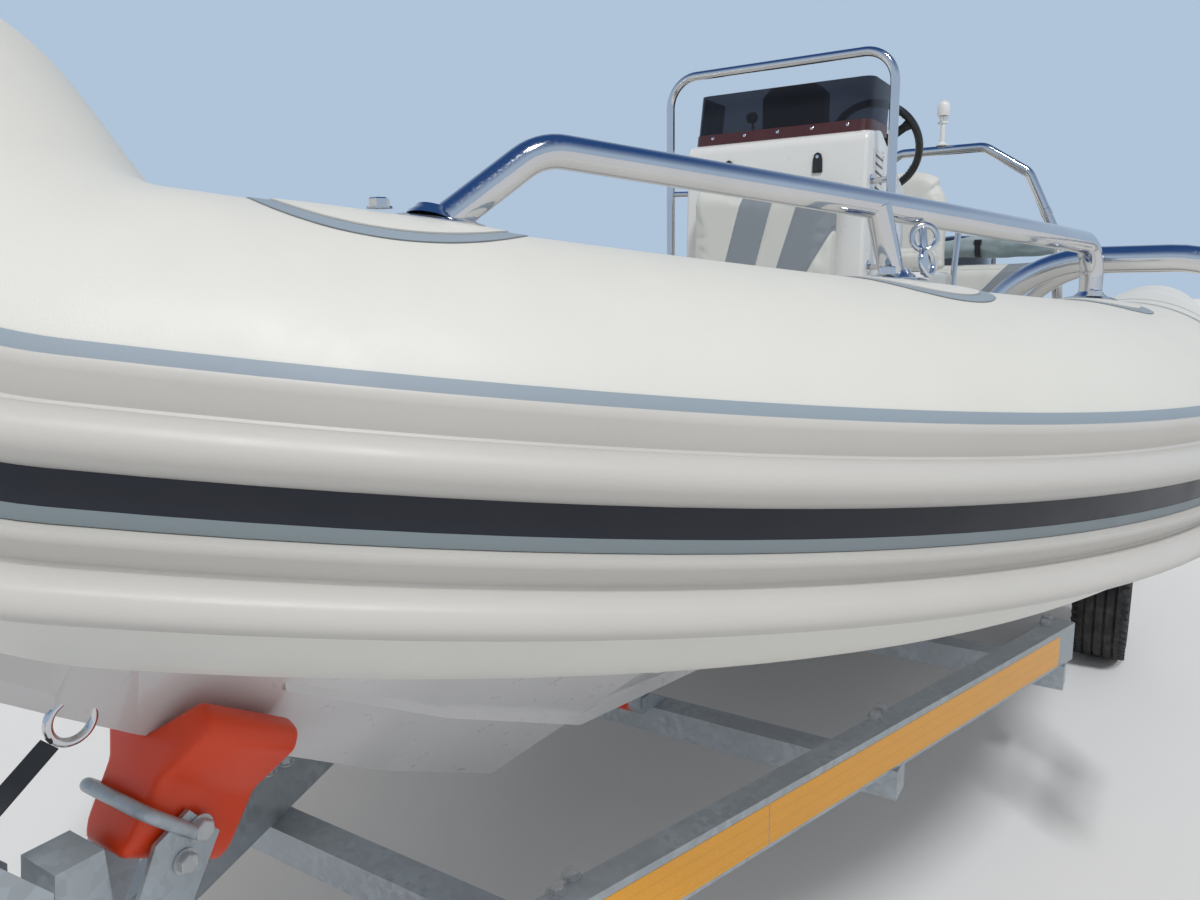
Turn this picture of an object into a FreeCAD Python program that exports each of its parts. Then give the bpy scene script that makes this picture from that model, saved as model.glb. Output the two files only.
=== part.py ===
import FreeCAD, Part
import math
import os
from FreeCAD import Matrix, Placement, Rotation, Vector

# Rigid inflatable boat on its road trailer.
# +X points to the bow, +Y to port, +Z up, with the floor at Z = 0.
# Stations (names ending in _at) are measured along X from where the straight
# buoyancy tube starts to curve in towards the bow. Names ending in _aft or
# _ahead are measured from the end of that wide bend.
# Names ending in _rise, _top or _drop are heights over or under the tube's axis.

doc = FreeCAD.newDocument("rib_boat")
sheet = doc.addObject("Spreadsheet::Sheet", "sizes")

SIZES = {
    # buoyancy tube
    "tube_radius": 250, "tube_half_beam": 1045, "bow_bend_angle": 51.05, "bow_slope": 0.1932,
    "nose_radius": 312.5, "nose_roll": 45.4, "transom_at": -3300, "cone_long": 420,
    "cone_end_radius": 95, "skin_gap": 0.3,
    # rubbing strakes, as angles round the tube from level outboard
    "strake_top_angle": 18, "strake_low_angle": -2, "lower_strake_angle": -13,
    "strake_proud": 38, "strake_flange": 5, "band_thick": 2.5,
    # hull and deck
    "keel_drop": 700, "chine_inset": 212, "sheer_inset": 85, "sole_drop": 150,
    "sole_thick": 40, "transom_thick": 60, "motor_notch_drop": 65, "motor_notch_wide": 620,
    "transom_rise": 120, "foredeck_aft": 877, "foredeck_rise": 20, "locker_inset": 90,
    "locker_long": 420, "locker_wide": 320, "locker_deep": 130, "lid_lap": 18, "lid_thick": 24,
    # handrails and boarding ladders on the tubes
    "rail_tube": 38, "rail_height": 100, "rail_foot_plate": 110, "foot_plate_thick": 6,
    "rail_front_aft": 204, "rail_corner_aft": 297, "rail_mid_aft": 727, "rail_rear_aft": 1297,
    "patch_long": 290, "patch_wide": 180, "patch_thick": 5, "ladder_aft": 1537,
    "ladder_tube": 50, "ladder_wide": 330, "ladder_height": 85, "ladder_drop": 420, "rung": 32,
    # console
    "console_front_at": -520, "console_long": 500, "console_half_wide": 305,
    "console_top": 752, "dash_top": 768, "screen_top": 920, "screen_thick": 6,
    "screen_lean": 40, "screen_inset": 8, "hoop_tube": 28, "hoop_half_wide": 374,
    "hoop_top": 976, "wheel_across": 350, "wheel_rim": 28, "wheel_at": -1150,
    "wheel_side": 148, "wheel_top": 779, "wheel_tilt": 25,
    # seats
    "front_seat_long": 430, "front_seat_half_wide": 245, "front_seat_top": 190,
    "front_back_top": 600, "cushion_thick": 90, "helm_seat_at": -1850,
    "helm_seat_half_wide": 290, "helm_seat_top": 330, "helm_back_top": 790,
    "bench_at": -2680, "bench_long": 380, "bench_half_wide": 575, "bench_top": 60,
    "bench_back_top": 390, "cover_across": 120, "cover_half_long": 640,
    # stern arch
    "arch_tube": 50, "arch_at": -3000, "arch_top": 985, "arch_half_top": 218,
    "arch_half_shoulder": 443, "arch_shoulder_top": 838, "arch_half_knee": 590,
    "arch_knee_top": 520, "arch_half_foot": 640, "arch_rake": 120, "light_tall": 236,
    # outboard motor
    "motor_leg_at": -3590, "tilt_pin_at": -3385, "tilt_pin_drop": 20, "motor_deep": 850,
    "cowl_top": 560, "cowl_half_wide": 190, "prop_radius": 175, "prop_hub_radius": 45,
    # trailer
    "beam_deep": 110, "beam_wide": 55, "spring_room": 25, "cross_deep": 70, "cross_wide": 70,
    "frame_spread_at": -430, "frame_half_spread": 940, "beams_meet_ahead": 573,
    "drawbar_half": 40, "nose_ahead": 1123, "cross_mid_at": 400, "cross_front_aft": 527,
    "side_rail_half": 480, "frame_tail_at": -3050, "axle_at": -1450, "axle_beam": 50,
    "spindle_radius": 20, "track_half": 1000, "tyre_radius": 300, "tyre_wide": 180,
    "rim_radius": 172, "guard_gap": 62, "guard_thick": 4, "jockey_ahead": 643,
    "jockey_radius": 100, "jockey_wide": 44, "jockey_trail": 45, "mast_radius": 24,
    "mast_over_beam": 340, "post_ahead": 63, "post_drop": 353, "block_aft": 137,
    "block_long": 190, "drum_radius": 42, "coupler_long": 330, "ball_radius": 25,
    "roller_radius": 34, "roller_long": 150, "bunk_half": 430, "bunk_long": 2000,
    "light_board_at": -3340, "board_half_wide": 850,
}

for row, (alias, value) in enumerate(SIZES.items(), start=1):
    sheet.set(f"A{row}", alias)
    sheet.set(f"B{row}", str(value))
    sheet.setAlias(f"B{row}", alias)
doc.recompute()


class Values:
    """The sheet's sizes as plain numbers."""

    def __getattr__(self, alias):
        return float(sheet.get(alias))


size = Values()
parts = {}
R = size.tube_radius
SKIN = R + size.skin_gap

# The tube's wide bend lies in a plane that climbs inboard. The tight bend ahead
# of it is rolled further up and brings the tube across the bow, where it points
# level athwart. The wide bend's radius closes the two sides on the centreline.

LEAN = math.hypot(1, size.bow_slope)
BEND = math.radians(size.bow_bend_angle)
ROLL = math.radians(size.nose_roll)
AHEAD = Vector(1, 0, 0)
INBOARD = Vector(0, -1, size.bow_slope) / LEAN
UPRIGHT = Vector(0, size.bow_slope, 1) / LEAN
BEND_AHEAD = AHEAD * math.cos(BEND) + INBOARD * math.sin(BEND)
BEND_INWARD = INBOARD * math.cos(BEND) - AHEAD * math.sin(BEND)
NOSE_INWARD = BEND_INWARD * math.cos(ROLL) + UPRIGHT * math.sin(ROLL)
NOSE_TURN = math.atan2(BEND_AHEAD.x, -NOSE_INWARD.x)
NOSE_AHEAD = BEND_AHEAD * math.cos(NOSE_TURN) + NOSE_INWARD * math.sin(NOSE_TURN)
nose_shift = BEND_AHEAD * math.sin(NOSE_TURN) + NOSE_INWARD * (1 - math.cos(NOSE_TURN))
BEND_RADIUS = (size.tube_half_beam + size.nose_radius * nose_shift.y) * LEAN / (1 - math.cos(BEND))
BOW_AT = BEND_RADIUS * math.sin(BEND)

# The boat's keel rests on rollers over the trailer's cross members, and the
# trailer's rails ride over the axle, so the tube's height follows from both.

ROLLER_SEAT = 2
BEAM_FLOOR = size.tyre_radius + size.axle_beam / 2 + size.spring_room
AXIS_Z = BEAM_FLOOR + ROLLER_SEAT + 2 * size.roller_radius + size.skin_gap + size.keel_drop

# The frame's origin is under the middle of everything from the coupler's nose
# to the motor's plate over the propeller.

PLATE_REACH = 330
nose_at = BOW_AT + size.nose_ahead
BOW_X = -(nose_at + size.coupler_long - 60 + size.motor_leg_at - PLATE_REACH) / 2


def point(station, side, rise):
    """A point from its station, its distance to port and its height over the tube's axis."""
    return Vector(BOW_X + station, side, AXIS_Z + rise)


def add_feature(label, shape):
    """Keeps a finished shape as a sub-part."""
    feature = doc.addObject("Part::Feature", label)
    feature.Label = label
    feature.Shape = shape
    parts[label] = feature
    return feature


def fused(shapes):
    """One shape from several that touch or overlap."""
    whole = shapes[0].multiFuse(shapes[1:]) if len(shapes) > 1 else shapes[0]
    return whole.removeSplitter()


def mirrored(shape):
    return shape.mirror(Vector(0, 0, 0), Vector(0, 1, 0))


def both_sides(shape):
    """The shape with its mirror image across the centreline, as separate solids."""
    return Part.makeCompound([shape, mirrored(shape)])


def block(low, high):
    """A box between two corners."""
    span = high - low
    return Part.makeBox(span.x, span.y, span.z, low)


def beam(start, end, wide, deep):
    """A rectangular bar between two points, wide across and deep upwards."""
    along = end - start
    bar = Part.makeBox(along.Length, wide, deep, Vector(0, -wide / 2, -deep / 2))
    level = math.hypot(along.x, along.y)
    yaw = math.degrees(math.atan2(along.y, along.x))
    pitch = -math.degrees(math.atan2(along.z, level))
    bar.Placement = Placement(start, Rotation(yaw, pitch, 0))
    return bar


def rod(start, end, radius):
    """A round bar between two points."""
    along = end - start
    return Part.makeCylinder(radius, along.Length, start, along)


def bent_tube(points, radius, bends):
    """A round tube through points, with an arc of the given radius at each inner one."""
    edges = []
    last = points[0]
    for before, corner, after, bend in zip(points, points[1:], points[2:], bends):
        inward = (before - corner).normalize()
        outward = (after - corner).normalize()
        half = inward.getAngle(outward) / 2
        reach = bend / math.tan(half)
        middle = corner + (inward + outward).normalize() * (bend / math.sin(half) - bend)
        start, end = corner + inward * reach, corner + outward * reach
        edges.append(Part.LineSegment(last, start).toShape())
        edges.append(Part.Arc(start, middle, end).toShape())
        last = end
    edges.append(Part.LineSegment(last, points[-1]).toShape())
    ring = Part.Wire(Part.makeCircle(radius, points[0], points[1] - points[0]))
    return Part.Wire(edges).makePipeShell([ring], True, False)


def prism(outline, depth):
    """A solid from a closed outline of points, carried along the vector depth."""
    return Part.Face(Part.makePolygon(outline + [outline[0]])).extrude(depth)


def side_plate(outline, side_low, side_high):
    """A solid from an outline of (station, rise) pairs, from one side distance to another."""
    corners = [point(station, side_low, rise) for station, rise in outline]
    return prism(corners, Vector(0, side_high - side_low, 0))


def turned(outline, station, rise):
    """A solid of revolution about an athwart axis, from (side, reach) pairs."""
    corners = [point(station, side, rise + reach) for side, reach in outline]
    face = Part.Face(Part.makePolygon(corners + [corners[0]]))
    return face.revolve(point(station, 0, rise), Vector(0, 1, 0), 360)


def on_side_face(edge):
    """Whether an edge lies in a plane of constant Y."""
    ends = [vertex.Point.y for vertex in edge.Vertexes]
    return len(ends) == 2 and abs(ends[0] - ends[1]) < 1e-6


def sketch_on(body, plane_role, offset, corners):
    """A closed outline sketched on one of a body's origin planes."""
    sketch = body.newObject("Sketcher::SketchObject", body.Label + "_outline")
    plane = [f for f in body.Origin.OriginFeatures if f.Role == plane_role][0]
    sketch.AttachmentSupport = (plane, [""])
    sketch.MapMode = "FlatFace"
    sketch.AttachmentOffset = Placement(offset, Rotation())
    for start, end in zip(corners, corners[1:] + corners[:1]):
        sketch.addGeometry(Part.LineSegment(start, end), False)
    return sketch


def profile_body(label, outline, half_alias, fillet=0):
    """A body padded both ways from a side outline of (station, rise) pairs."""
    body = doc.addObject("PartDesign::Body", label)
    body.Label = label
    flat = [Vector(BOW_X + station, AXIS_Z + rise, 0) for station, rise in outline]
    pad = body.newObject("PartDesign::Pad", label + "_pad")
    pad.Profile = sketch_on(body, "XZ_Plane", Vector(0, 0, 0), flat)
    pad.Midplane = True
    pad.setExpression("Length", f"2 * sizes.{half_alias}")
    doc.recompute()
    if fillet:
        names = [f"Edge{i}" for i, edge in enumerate(pad.Shape.Edges, start=1) if on_side_face(edge)]
        soft = body.newObject("PartDesign::Fillet", label + "_rounding")
        soft.Base = (pad, names)
        soft.Radius = fillet
        doc.recompute()
    parts[label] = body
    return body


def turned_body(label, outline, station, rise):
    """A body turned about an athwart axis from (side, reach) pairs."""
    body = doc.addObject("PartDesign::Body", label)
    body.Label = label
    corners = [Vector(side, reach, 0) for side, reach in outline]
    offset = Vector(0, AXIS_Z + rise, BOW_X + station)
    sketch = sketch_on(body, "YZ_Plane", offset, corners)
    turn = body.newObject("PartDesign::Revolution", label + "_turn")
    turn.Profile = sketch
    turn.ReferenceAxis = (sketch, ["H_Axis"])
    turn.Angle = 360
    doc.recompute()
    parts[label] = body
    return body


def on_wide(angle):
    """The port tube's axis at an angle along its wide bend."""
    return (point(0, size.tube_half_beam, 0) + AHEAD * (BEND_RADIUS * math.sin(angle))
            + INBOARD * (BEND_RADIUS * (1 - math.cos(angle))))


def axis_at(station):
    """The port tube's axis over a station on its straight run or its wide bend."""
    if station <= 0:
        return point(station, size.tube_half_beam, 0)
    return on_wide(math.asin(station / BEND_RADIUS))


WIDE_CENTRE = point(0, size.tube_half_beam, 0) + INBOARD * BEND_RADIUS
NOSE_CENTRE = on_wide(BEND) + NOSE_INWARD * size.nose_radius
NOSE_AXIS = BEND_AHEAD.cross(NOSE_INWARD)
PORT_SPACE = block(point(-6000, 0, -AXIS_Z), point(4000, 3000, 2000))


def port_sweep(profile):
    """A profile at the transom carried along the port tube and mitred at the centreline."""
    section = Part.Face(profile)
    run = Vector(-size.transom_at, 0, 0)
    pieces = [section.extrude(run)]
    section.translate(run)
    for centre, axis, angle in ((WIDE_CENTRE, -UPRIGHT, BEND), (NOSE_CENTRE, NOSE_AXIS, NOSE_TURN)):
        pieces.append(section.revolve(centre, axis, math.degrees(angle)))
        section.rotate(centre, axis, math.degrees(angle))
    pieces.append(section.extrude(NOSE_AHEAD * R))
    return fused(pieces).common(PORT_SPACE)


def round_tube(radius):
    """The port tube with its cone, at a given radius."""
    ring = Part.Wire(Part.makeCircle(radius, point(size.transom_at, size.tube_half_beam, 0), AHEAD))
    extra = radius - R
    tip = size.cone_end_radius + extra
    tail = size.transom_at - size.cone_long - extra
    outline = [point(size.transom_at, 0, 0), point(size.transom_at, 0, radius),
               point(tail + 60, 0, tip + 25), point(tail, 0, tip - 30), point(tail, 0, 0)]
    cone = Part.Face(Part.makePolygon(outline + [outline[0]]))
    cone = cone.revolve(point(0, 0, 0), AHEAD, 360)
    cone.translate(Vector(0, size.tube_half_beam, 0))
    return fused([port_sweep(ring), cone])


def around(angle, radius):
    """A point round the port tube's section at the transom, by angle from level outboard."""
    turn = math.radians(angle)
    return point(size.transom_at, size.tube_half_beam + radius * math.cos(turn), radius * math.sin(turn))


def arc_edge(start_angle, end_angle, radius):
    middle = (start_angle + end_angle) / 2
    return Part.Arc(around(start_angle, radius), around(middle, radius),
                    around(end_angle, radius)).toShape()


def line_edge(start, end):
    return Part.LineSegment(start, end).toShape()


def strake_profile(top, low):
    """A moulded strake: flat flange and groove above, then a fat rounded bulge."""
    flange, proud = SKIN + size.strake_flange, SKIN + size.strake_proud
    lip = top - 0.42 * (top - low)
    shelf = around(lip, flange)
    shoulder = around(lip, SKIN + 0.45 * size.strake_proud)
    chin = around(low, SKIN + 0.35 * size.strake_proud)
    bulge = Part.Arc(shoulder, around((lip + low) / 2, proud), chin).toShape()
    return Part.Wire([
        arc_edge(low, top, SKIN), line_edge(around(top, SKIN), around(top, flange)),
        arc_edge(top, lip, flange), line_edge(shelf, shoulder), bulge,
        line_edge(chin, around(low, SKIN))])


def band_profile(top, low, thick):
    return Part.Wire([
        arc_edge(low, top, SKIN), line_edge(around(top, SKIN), around(top, SKIN + thick)),
        arc_edge(top, low, SKIN + thick), line_edge(around(low, SKIN + thick), around(low, SKIN))])


port_tube = round_tube(R)
add_feature("tube_port", port_tube)
add_feature("tube_starboard", mirrored(port_tube))

STRAKE_TALL = size.strake_top_angle - size.strake_low_angle
BAND_CLEAR = 0.3
upper = port_sweep(strake_profile(size.strake_top_angle, size.strake_low_angle))
lower = port_sweep(strake_profile(size.lower_strake_angle, size.lower_strake_angle - STRAKE_TALL))
band = port_sweep(band_profile(size.strake_low_angle - BAND_CLEAR, size.lower_strake_angle + BAND_CLEAR,
                               size.band_thick))
add_feature("strake_upper", fused([upper, mirrored(upper)]))
add_feature("strake_lower", fused([lower, mirrored(lower)]))
add_feature("side_band", fused([band, mirrored(band)]))

clearance = round_tube(SKIN)
both_clearances = fused([clearance, mirrored(clearance)])

# Hull: a ruled shell through a keel, a chine flat and a sheer hidden in the tubes.
# Its sides follow the tube's axis, and a narrow stem ends it.

SHEER_OVER = 30
CHINE_FLAT, CHINE_LIP = 0.88, 8
HULL_ROWS = (
    # station, keel rise, chine rise under the tube's axis
    (size.transom_at, -size.keel_drop, -360),
    (0, -size.keel_drop, -350),
    (BOW_AT - 1177, -size.keel_drop, -315),
    (BOW_AT - 777, -size.keel_drop + 5, -279),
    (BOW_AT - 477, -size.keel_drop + 163, -227),
    (BOW_AT - 227, -size.keel_drop + 321, -175),
    (BOW_AT - 57, -size.keel_drop + 425, -148),
)
STEM_HALF = 12
STEM_ROWS = (
    # station, keel rise, top rise
    (BOW_AT + 43, -size.keel_drop + 496, 120),
    (BOW_AT + 123, -size.keel_drop + 555, 110),
    (BOW_AT + 183, -size.keel_drop + 625, 90),
)


def hull_ring(station, keel, chine):
    axis = axis_at(station) - point(station, 0, 0)
    chine_side, chine_rise = axis.y - size.chine_inset, axis.z + chine
    half = [(0, keel), (chine_side * CHINE_FLAT, chine_rise - CHINE_LIP), (chine_side, chine_rise),
            (axis.y - size.sheer_inset, axis.z + SHEER_OVER)]
    return mirrored_ring(station, half)


def stem_ring(station, keel, top):
    return mirrored_ring(station, [(0, keel), (STEM_HALF, keel + 30), (STEM_HALF, top - 5), (STEM_HALF, top)])


def mirrored_ring(station, half):
    """A closed section from its keel point and the points of its port half."""
    ring = [point(station, side, rise) for side, rise in half]
    ring += [point(station, -side, rise) for side, rise in reversed(half[1:])]
    return Part.makePolygon(ring + [ring[0]])


def keel_rise(station):
    """The keel's height at a station."""
    rows = [row[:2] for row in HULL_ROWS + STEM_ROWS]
    for (start, low), (end, high) in zip(rows, rows[1:]):
        if station <= end:
            return low + (high - low) * (station - start) / (end - start)


rings = [hull_ring(*row) for row in HULL_ROWS] + [stem_ring(*row) for row in STEM_ROWS]
shell = Part.makeLoft(rings, True, True).cut(both_clearances)
sole_low = -size.sole_drop - size.sole_thick
foredeck_at = BOW_AT - size.foredeck_aft
foredeck_low = size.foredeck_rise - size.locker_deep - 30
deck_end = BOW_AT - 60
wide = size.tube_half_beam
open_deck = block(point(size.transom_at - 10, -wide, sole_low), point(foredeck_at, wide, 900))
over_bow = block(point(foredeck_at, -wide, foredeck_low), point(deck_end, wide, 900))
add_feature("hull", shell.cut(open_deck).cut(over_bow))
hull = parts["hull"].Shape

sole = block(point(size.transom_at + size.transom_thick, -wide, sole_low),
             point(foredeck_at, wide, -size.sole_drop)).cut(both_clearances)
sole = max(sole.Solids, key=lambda solid: solid.Volume)
add_feature("sole", sole)

# Foredeck: raised bow platform with an anchor locker under a lid.

deck_slab = block(point(foredeck_at, -wide, foredeck_low), point(deck_end, wide, size.foredeck_rise))
locker_at = foredeck_at + size.locker_inset
locker_half = size.locker_wide / 2
locker = block(point(locker_at, -locker_half, size.foredeck_rise - size.locker_deep),
               point(locker_at + size.locker_long, locker_half, size.foredeck_rise + 10))
foredeck = shell.common(deck_slab).cut(locker)
add_feature("foredeck", max(foredeck.Solids, key=lambda solid: solid.Volume))

lid_low = size.foredeck_rise + size.skin_gap
lid = block(point(locker_at - size.lid_lap, -locker_half - size.lid_lap, lid_low),
            point(locker_at + size.locker_long + size.lid_lap, locker_half + size.lid_lap,
                  lid_low + size.lid_thick))
add_feature("locker_lid", lid)

# Transom board with the outboard's notch.

notch_half, board_half = size.motor_notch_wide / 2, size.tube_half_beam - size.sheer_inset
NOTCH_FLARE = 60
transom = [(board_half, sole_low), (board_half, size.transom_rise),
           (notch_half + NOTCH_FLARE, size.transom_rise), (notch_half, -size.motor_notch_drop)]
transom += [(-side, rise) for side, rise in reversed(transom)]
transom = prism([point(size.transom_at, side, rise) for side, rise in transom],
                Vector(size.transom_thick, 0, 0)).cut(both_clearances)
add_feature("transom", transom)

# Handrails: a tube over each buoyancy tube, on plates with raised patches under them.

RAIL_R = size.rail_tube / 2
FOOT_LIFT = size.patch_thick + 2 * size.skin_gap
UNDERCUT = 10
front_foot, rail_corner = BOW_AT - size.rail_front_aft, BOW_AT - size.rail_corner_aft
mid_foot, rear_foot = BOW_AT - size.rail_mid_aft, BOW_AT - size.rail_rear_aft
RAIL_BENDS = (70, 1700, 1700, 1700, 60)


def over_crest(station, height):
    """A point over the port tube's crest."""
    return axis_at(station) + Vector(0, 0, R + height)


def foot_plate(station):
    """A round plate over the tube's crest, before its underside is cut to the patch."""
    return Part.makeCylinder(size.rail_foot_plate / 2, FOOT_LIFT + size.foot_plate_thick + UNDERCUT,
                             over_crest(station, -UNDERCUT))


along_rail = [rail_corner + share * (rear_foot - rail_corner) for share in (0.25, 0.5, 0.75)]
rail_points = [over_crest(front_foot, -UNDERCUT)]
rail_points += [over_crest(at, size.rail_height) for at in [rail_corner] + along_rail + [rear_foot]]
rail_points.append(over_crest(rear_foot, -UNDERCUT))
rail = [bent_tube(rail_points, RAIL_R, RAIL_BENDS),
        rod(over_crest(mid_foot, -UNDERCUT), over_crest(mid_foot + 35, size.rail_height), RAIL_R * 0.9)]
rail += [foot_plate(at) for at in (front_foot, mid_foot, rear_foot)]
rail = fused(rail).cut(round_tube(SKIN + FOOT_LIFT))
add_feature("handrail_port", rail)
add_feature("handrail_starboard", mirrored(rail))

patch_shell = round_tube(SKIN + size.patch_thick).cut(clearance)


def patch(station):
    """An oval pad of the tube's own form under a foot."""
    cutter = Part.makeCylinder(1, 2 * R, Vector(0, 0, 0))
    stretch = Matrix()
    stretch.A11 = size.patch_long / 2
    stretch.A22 = size.patch_wide / 2
    cutter = cutter.transformGeometry(stretch)
    ahead = axis_at(station + 20) - axis_at(station - 20)
    yaw = math.degrees(math.atan2(ahead.y, ahead.x))
    cutter.Placement = Placement(axis_at(station), Rotation(yaw, 0, 0))
    return patch_shell.common(cutter)


patches = [patch(at) for at in (front_foot + 25, mid_foot - 70, rear_foot)]
add_feature("rail_patches", Part.makeCompound(patches + [mirrored(p) for p in patches]))

# Boarding ladders, hooked over the tubes aft of their handrails.

LADDER_R = size.ladder_tube / 2
LADDER_CLEAR = 3
ladder_in = R + LADDER_R + LADDER_CLEAR
ladder_out = ladder_in + size.strake_proud
ladder_at = BOW_AT - size.ladder_aft
ladder_stations = (ladder_at, ladder_at - size.ladder_wide)


def ladder_rail(station):
    axis = axis_at(station)
    foot = Vector(0, -ladder_in, size.skin_gap - size.sole_drop - axis.z + AXIS_Z)
    turn = [axis + foot, axis + Vector(0, -ladder_in, R + size.ladder_height),
            axis + Vector(0, ladder_out, R + size.ladder_height),
            axis + Vector(0, ladder_out, -size.ladder_drop)]
    return bent_tube(turn, LADDER_R, (230, 240))


ladder = [ladder_rail(station) for station in ladder_stations]
for rung_drop in (size.ladder_drop - 160, size.ladder_drop - 25):
    ends = [axis_at(station) + Vector(0, ladder_out, -rung_drop) for station in ladder_stations]
    ladder.append(rod(ends[0], ends[1], size.rung / 2))
add_feature("boarding_ladders", both_sides(fused(ladder)))

# Console with the front seat, windscreen and hoop.

front, back = size.console_front_at, size.console_front_at - size.console_long
console = profile_body("console", [
    (front + 30, -size.sole_drop), (front, size.console_top - 20), (front - 20, size.console_top),
    (front - 150, size.dash_top), (back + 20, size.dash_top - 170), (back + 20, size.dash_top - 350),
    (back + 70, size.dash_top - 400), (back + 70, -size.sole_drop)], "console_half_wide", fillet=22)

screen_half = size.console_half_wide - size.screen_inset
SCREEN_BACK = 230


def screen_ring(grow, rise):
    """The windscreen's plan outline at one height: front pane and two returns."""
    inner = [(-SCREEN_BACK, screen_half), (-58, screen_half), (-30, screen_half - 28),
             (-30, -screen_half + 28), (-58, -screen_half), (-SCREEN_BACK, -screen_half)]
    return [point(front + along + (grow if along > -100 else 0),
                  side + (grow if side > 0 else -grow), rise) for along, side in inner]


screen_low = size.dash_top - 26
glass = screen_ring(0, screen_low) + screen_ring(-size.screen_thick, screen_low)[::-1]
glass = prism(glass, Vector(-size.screen_lean, 0, size.screen_top - screen_low)).cut(console.Shape)
add_feature("windscreen", max(glass.Solids, key=lambda solid: solid.Volume))

hoop_r = size.hoop_tube / 2
hoop_at = front - hoop_r
hoop_side = max(size.hoop_half_wide, size.console_half_wide + hoop_r + 12)
hoop_low, hoop_corner = size.console_top - 450, 95
hoop = [bent_tube([point(hoop_at, hoop_side, hoop_low), point(hoop_at, hoop_side, size.hoop_top),
                   point(hoop_at, -hoop_side, size.hoop_top), point(hoop_at, -hoop_side, hoop_low)],
                  hoop_r, (hoop_corner, hoop_corner))]
for side in (1, -1):
    for rise in (hoop_low + 40, hoop_low + 300):
        hoop.append(rod(point(hoop_at - 40, side * (size.console_half_wide - 20), rise),
                        point(hoop_at, side * hoop_side, rise), 10))
add_feature("console_hoop", fused(hoop).cut(console.Shape))

seat_back = front + 38
seat_front = seat_back + size.front_seat_long
BACKREST_ROOM = 110
profile_body("front_seat_base", [
    (seat_back, -size.sole_drop), (seat_front, -size.sole_drop), (seat_front, size.front_seat_top - 25),
    (seat_front - 25, size.front_seat_top), (seat_back, size.front_seat_top)],
    "front_seat_half_wide", fillet=16)
cushion_low = size.front_seat_top + size.skin_gap
profile_body("front_cushion", [
    (seat_back + BACKREST_ROOM, cushion_low), (seat_front, cushion_low),
    (seat_front, cushion_low + size.cushion_thick),
    (seat_back + BACKREST_ROOM, cushion_low + size.cushion_thick)], "front_seat_half_wide", fillet=20)
profile_body("front_backrest", [
    (seat_back - 10, cushion_low), (seat_back + 95, cushion_low),
    (seat_back + 60, size.front_back_top - 20), (seat_back + 30, size.front_back_top),
    (seat_back - 18, size.front_back_top)], "front_seat_half_wide", fillet=14)

# Helm: wheel, throttle box and plotter.

wheel_centre = point(size.wheel_at, size.wheel_side, size.wheel_top)
tilt = math.radians(size.wheel_tilt)
WHEEL_AXIS = Vector(-math.cos(tilt), 0, math.sin(tilt))
rim_r = (size.wheel_across - size.wheel_rim) / 2
BOSS_DEEP = 26
wheel = [Part.makeTorus(rim_r, size.wheel_rim / 2, wheel_centre, WHEEL_AXIS),
         Part.makeCylinder(42, BOSS_DEEP + 10, wheel_centre - WHEEL_AXIS * BOSS_DEEP, WHEEL_AXIS)]
for turn in (90, 210, 330):
    spoke = Rotation(WHEEL_AXIS, turn).multVec(Vector(0, 1, 0))
    wheel.append(beam(wheel_centre - WHEEL_AXIS * 8, wheel_centre - WHEEL_AXIS * 2 + spoke * rim_r, 34, 9))
add_feature("helm_wheel", fused(wheel))

hub_start = wheel_centre - WHEEL_AXIS * (BOSS_DEEP + 0.5)
add_feature("helm_hub", rod(hub_start, hub_start - WHEEL_AXIS * 240, 34).cut(console.Shape))

throttle_at, throttle_side = back + 110, -size.console_half_wide + 90
lever_top = size.dash_top + 115
throttle = [block(point(throttle_at - 60, throttle_side - 45, size.dash_top - 180),
                  point(throttle_at + 50, throttle_side + 45, size.dash_top - 14)),
            rod(point(throttle_at, throttle_side, size.dash_top - 40),
                point(throttle_at + 40, throttle_side, lever_top - 10), 9),
            Part.makeSphere(22, point(throttle_at + 44, throttle_side, lever_top))]
add_feature("throttle", fused(throttle).cut(console.Shape))

plotter = block(point(front - 270, -150, size.dash_top - 10), point(front - 195, 130, size.dash_top + 135))
plotter_foot = block(point(front - 245, -60, size.dash_top - 100), point(front - 210, 40, size.dash_top - 8))
add_feature("plotter", fused([plotter, plotter_foot]).cut(console.Shape))

# Helm seat with its bolster, and the chrome rail behind it.

helm = size.helm_seat_at
profile_body("helm_seat_base", [
    (helm - 30, -size.sole_drop), (helm + 330, -size.sole_drop), (helm + 370, size.helm_seat_top - 20),
    (helm + 350, size.helm_seat_top), (helm - 60, size.helm_seat_top)], "helm_seat_half_wide", fillet=20)
helm_low = size.helm_seat_top + size.skin_gap
profile_body("helm_cushion", [
    (helm + 40, helm_low), (helm + 360, helm_low), (helm + 360, helm_low + size.cushion_thick),
    (helm + 40, helm_low + size.cushion_thick)], "helm_seat_half_wide", fillet=22)
profile_body("helm_backrest", [
    (helm - 70, helm_low), (helm + 30, helm_low), (helm - 10, size.helm_back_top),
    (helm - 90, size.helm_back_top)], "helm_seat_half_wide", fillet=26)

seat_rail_side = size.helm_seat_half_wide + 22
rail_foot, rail_top = size.helm_seat_top - 150, size.helm_back_top - 190
seat_rail = [bent_tube([point(helm + 20, seat_rail_side, rail_foot), point(helm - 110, seat_rail_side, rail_top),
                        point(helm - 110, -seat_rail_side, rail_top), point(helm + 20, -seat_rail_side, rail_foot)],
                       13, (70, 70))]
for side in (1, -1):
    seat_rail.append(rod(point(helm + 17, side * size.helm_seat_half_wide, rail_foot + 10),
                         point(helm + 17, side * seat_rail_side, rail_foot + 10), 10))
add_feature("helm_seat_rail", fused(seat_rail))

# Stern bench with its cushions, and the rolled cover on top of its backrest.

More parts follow.
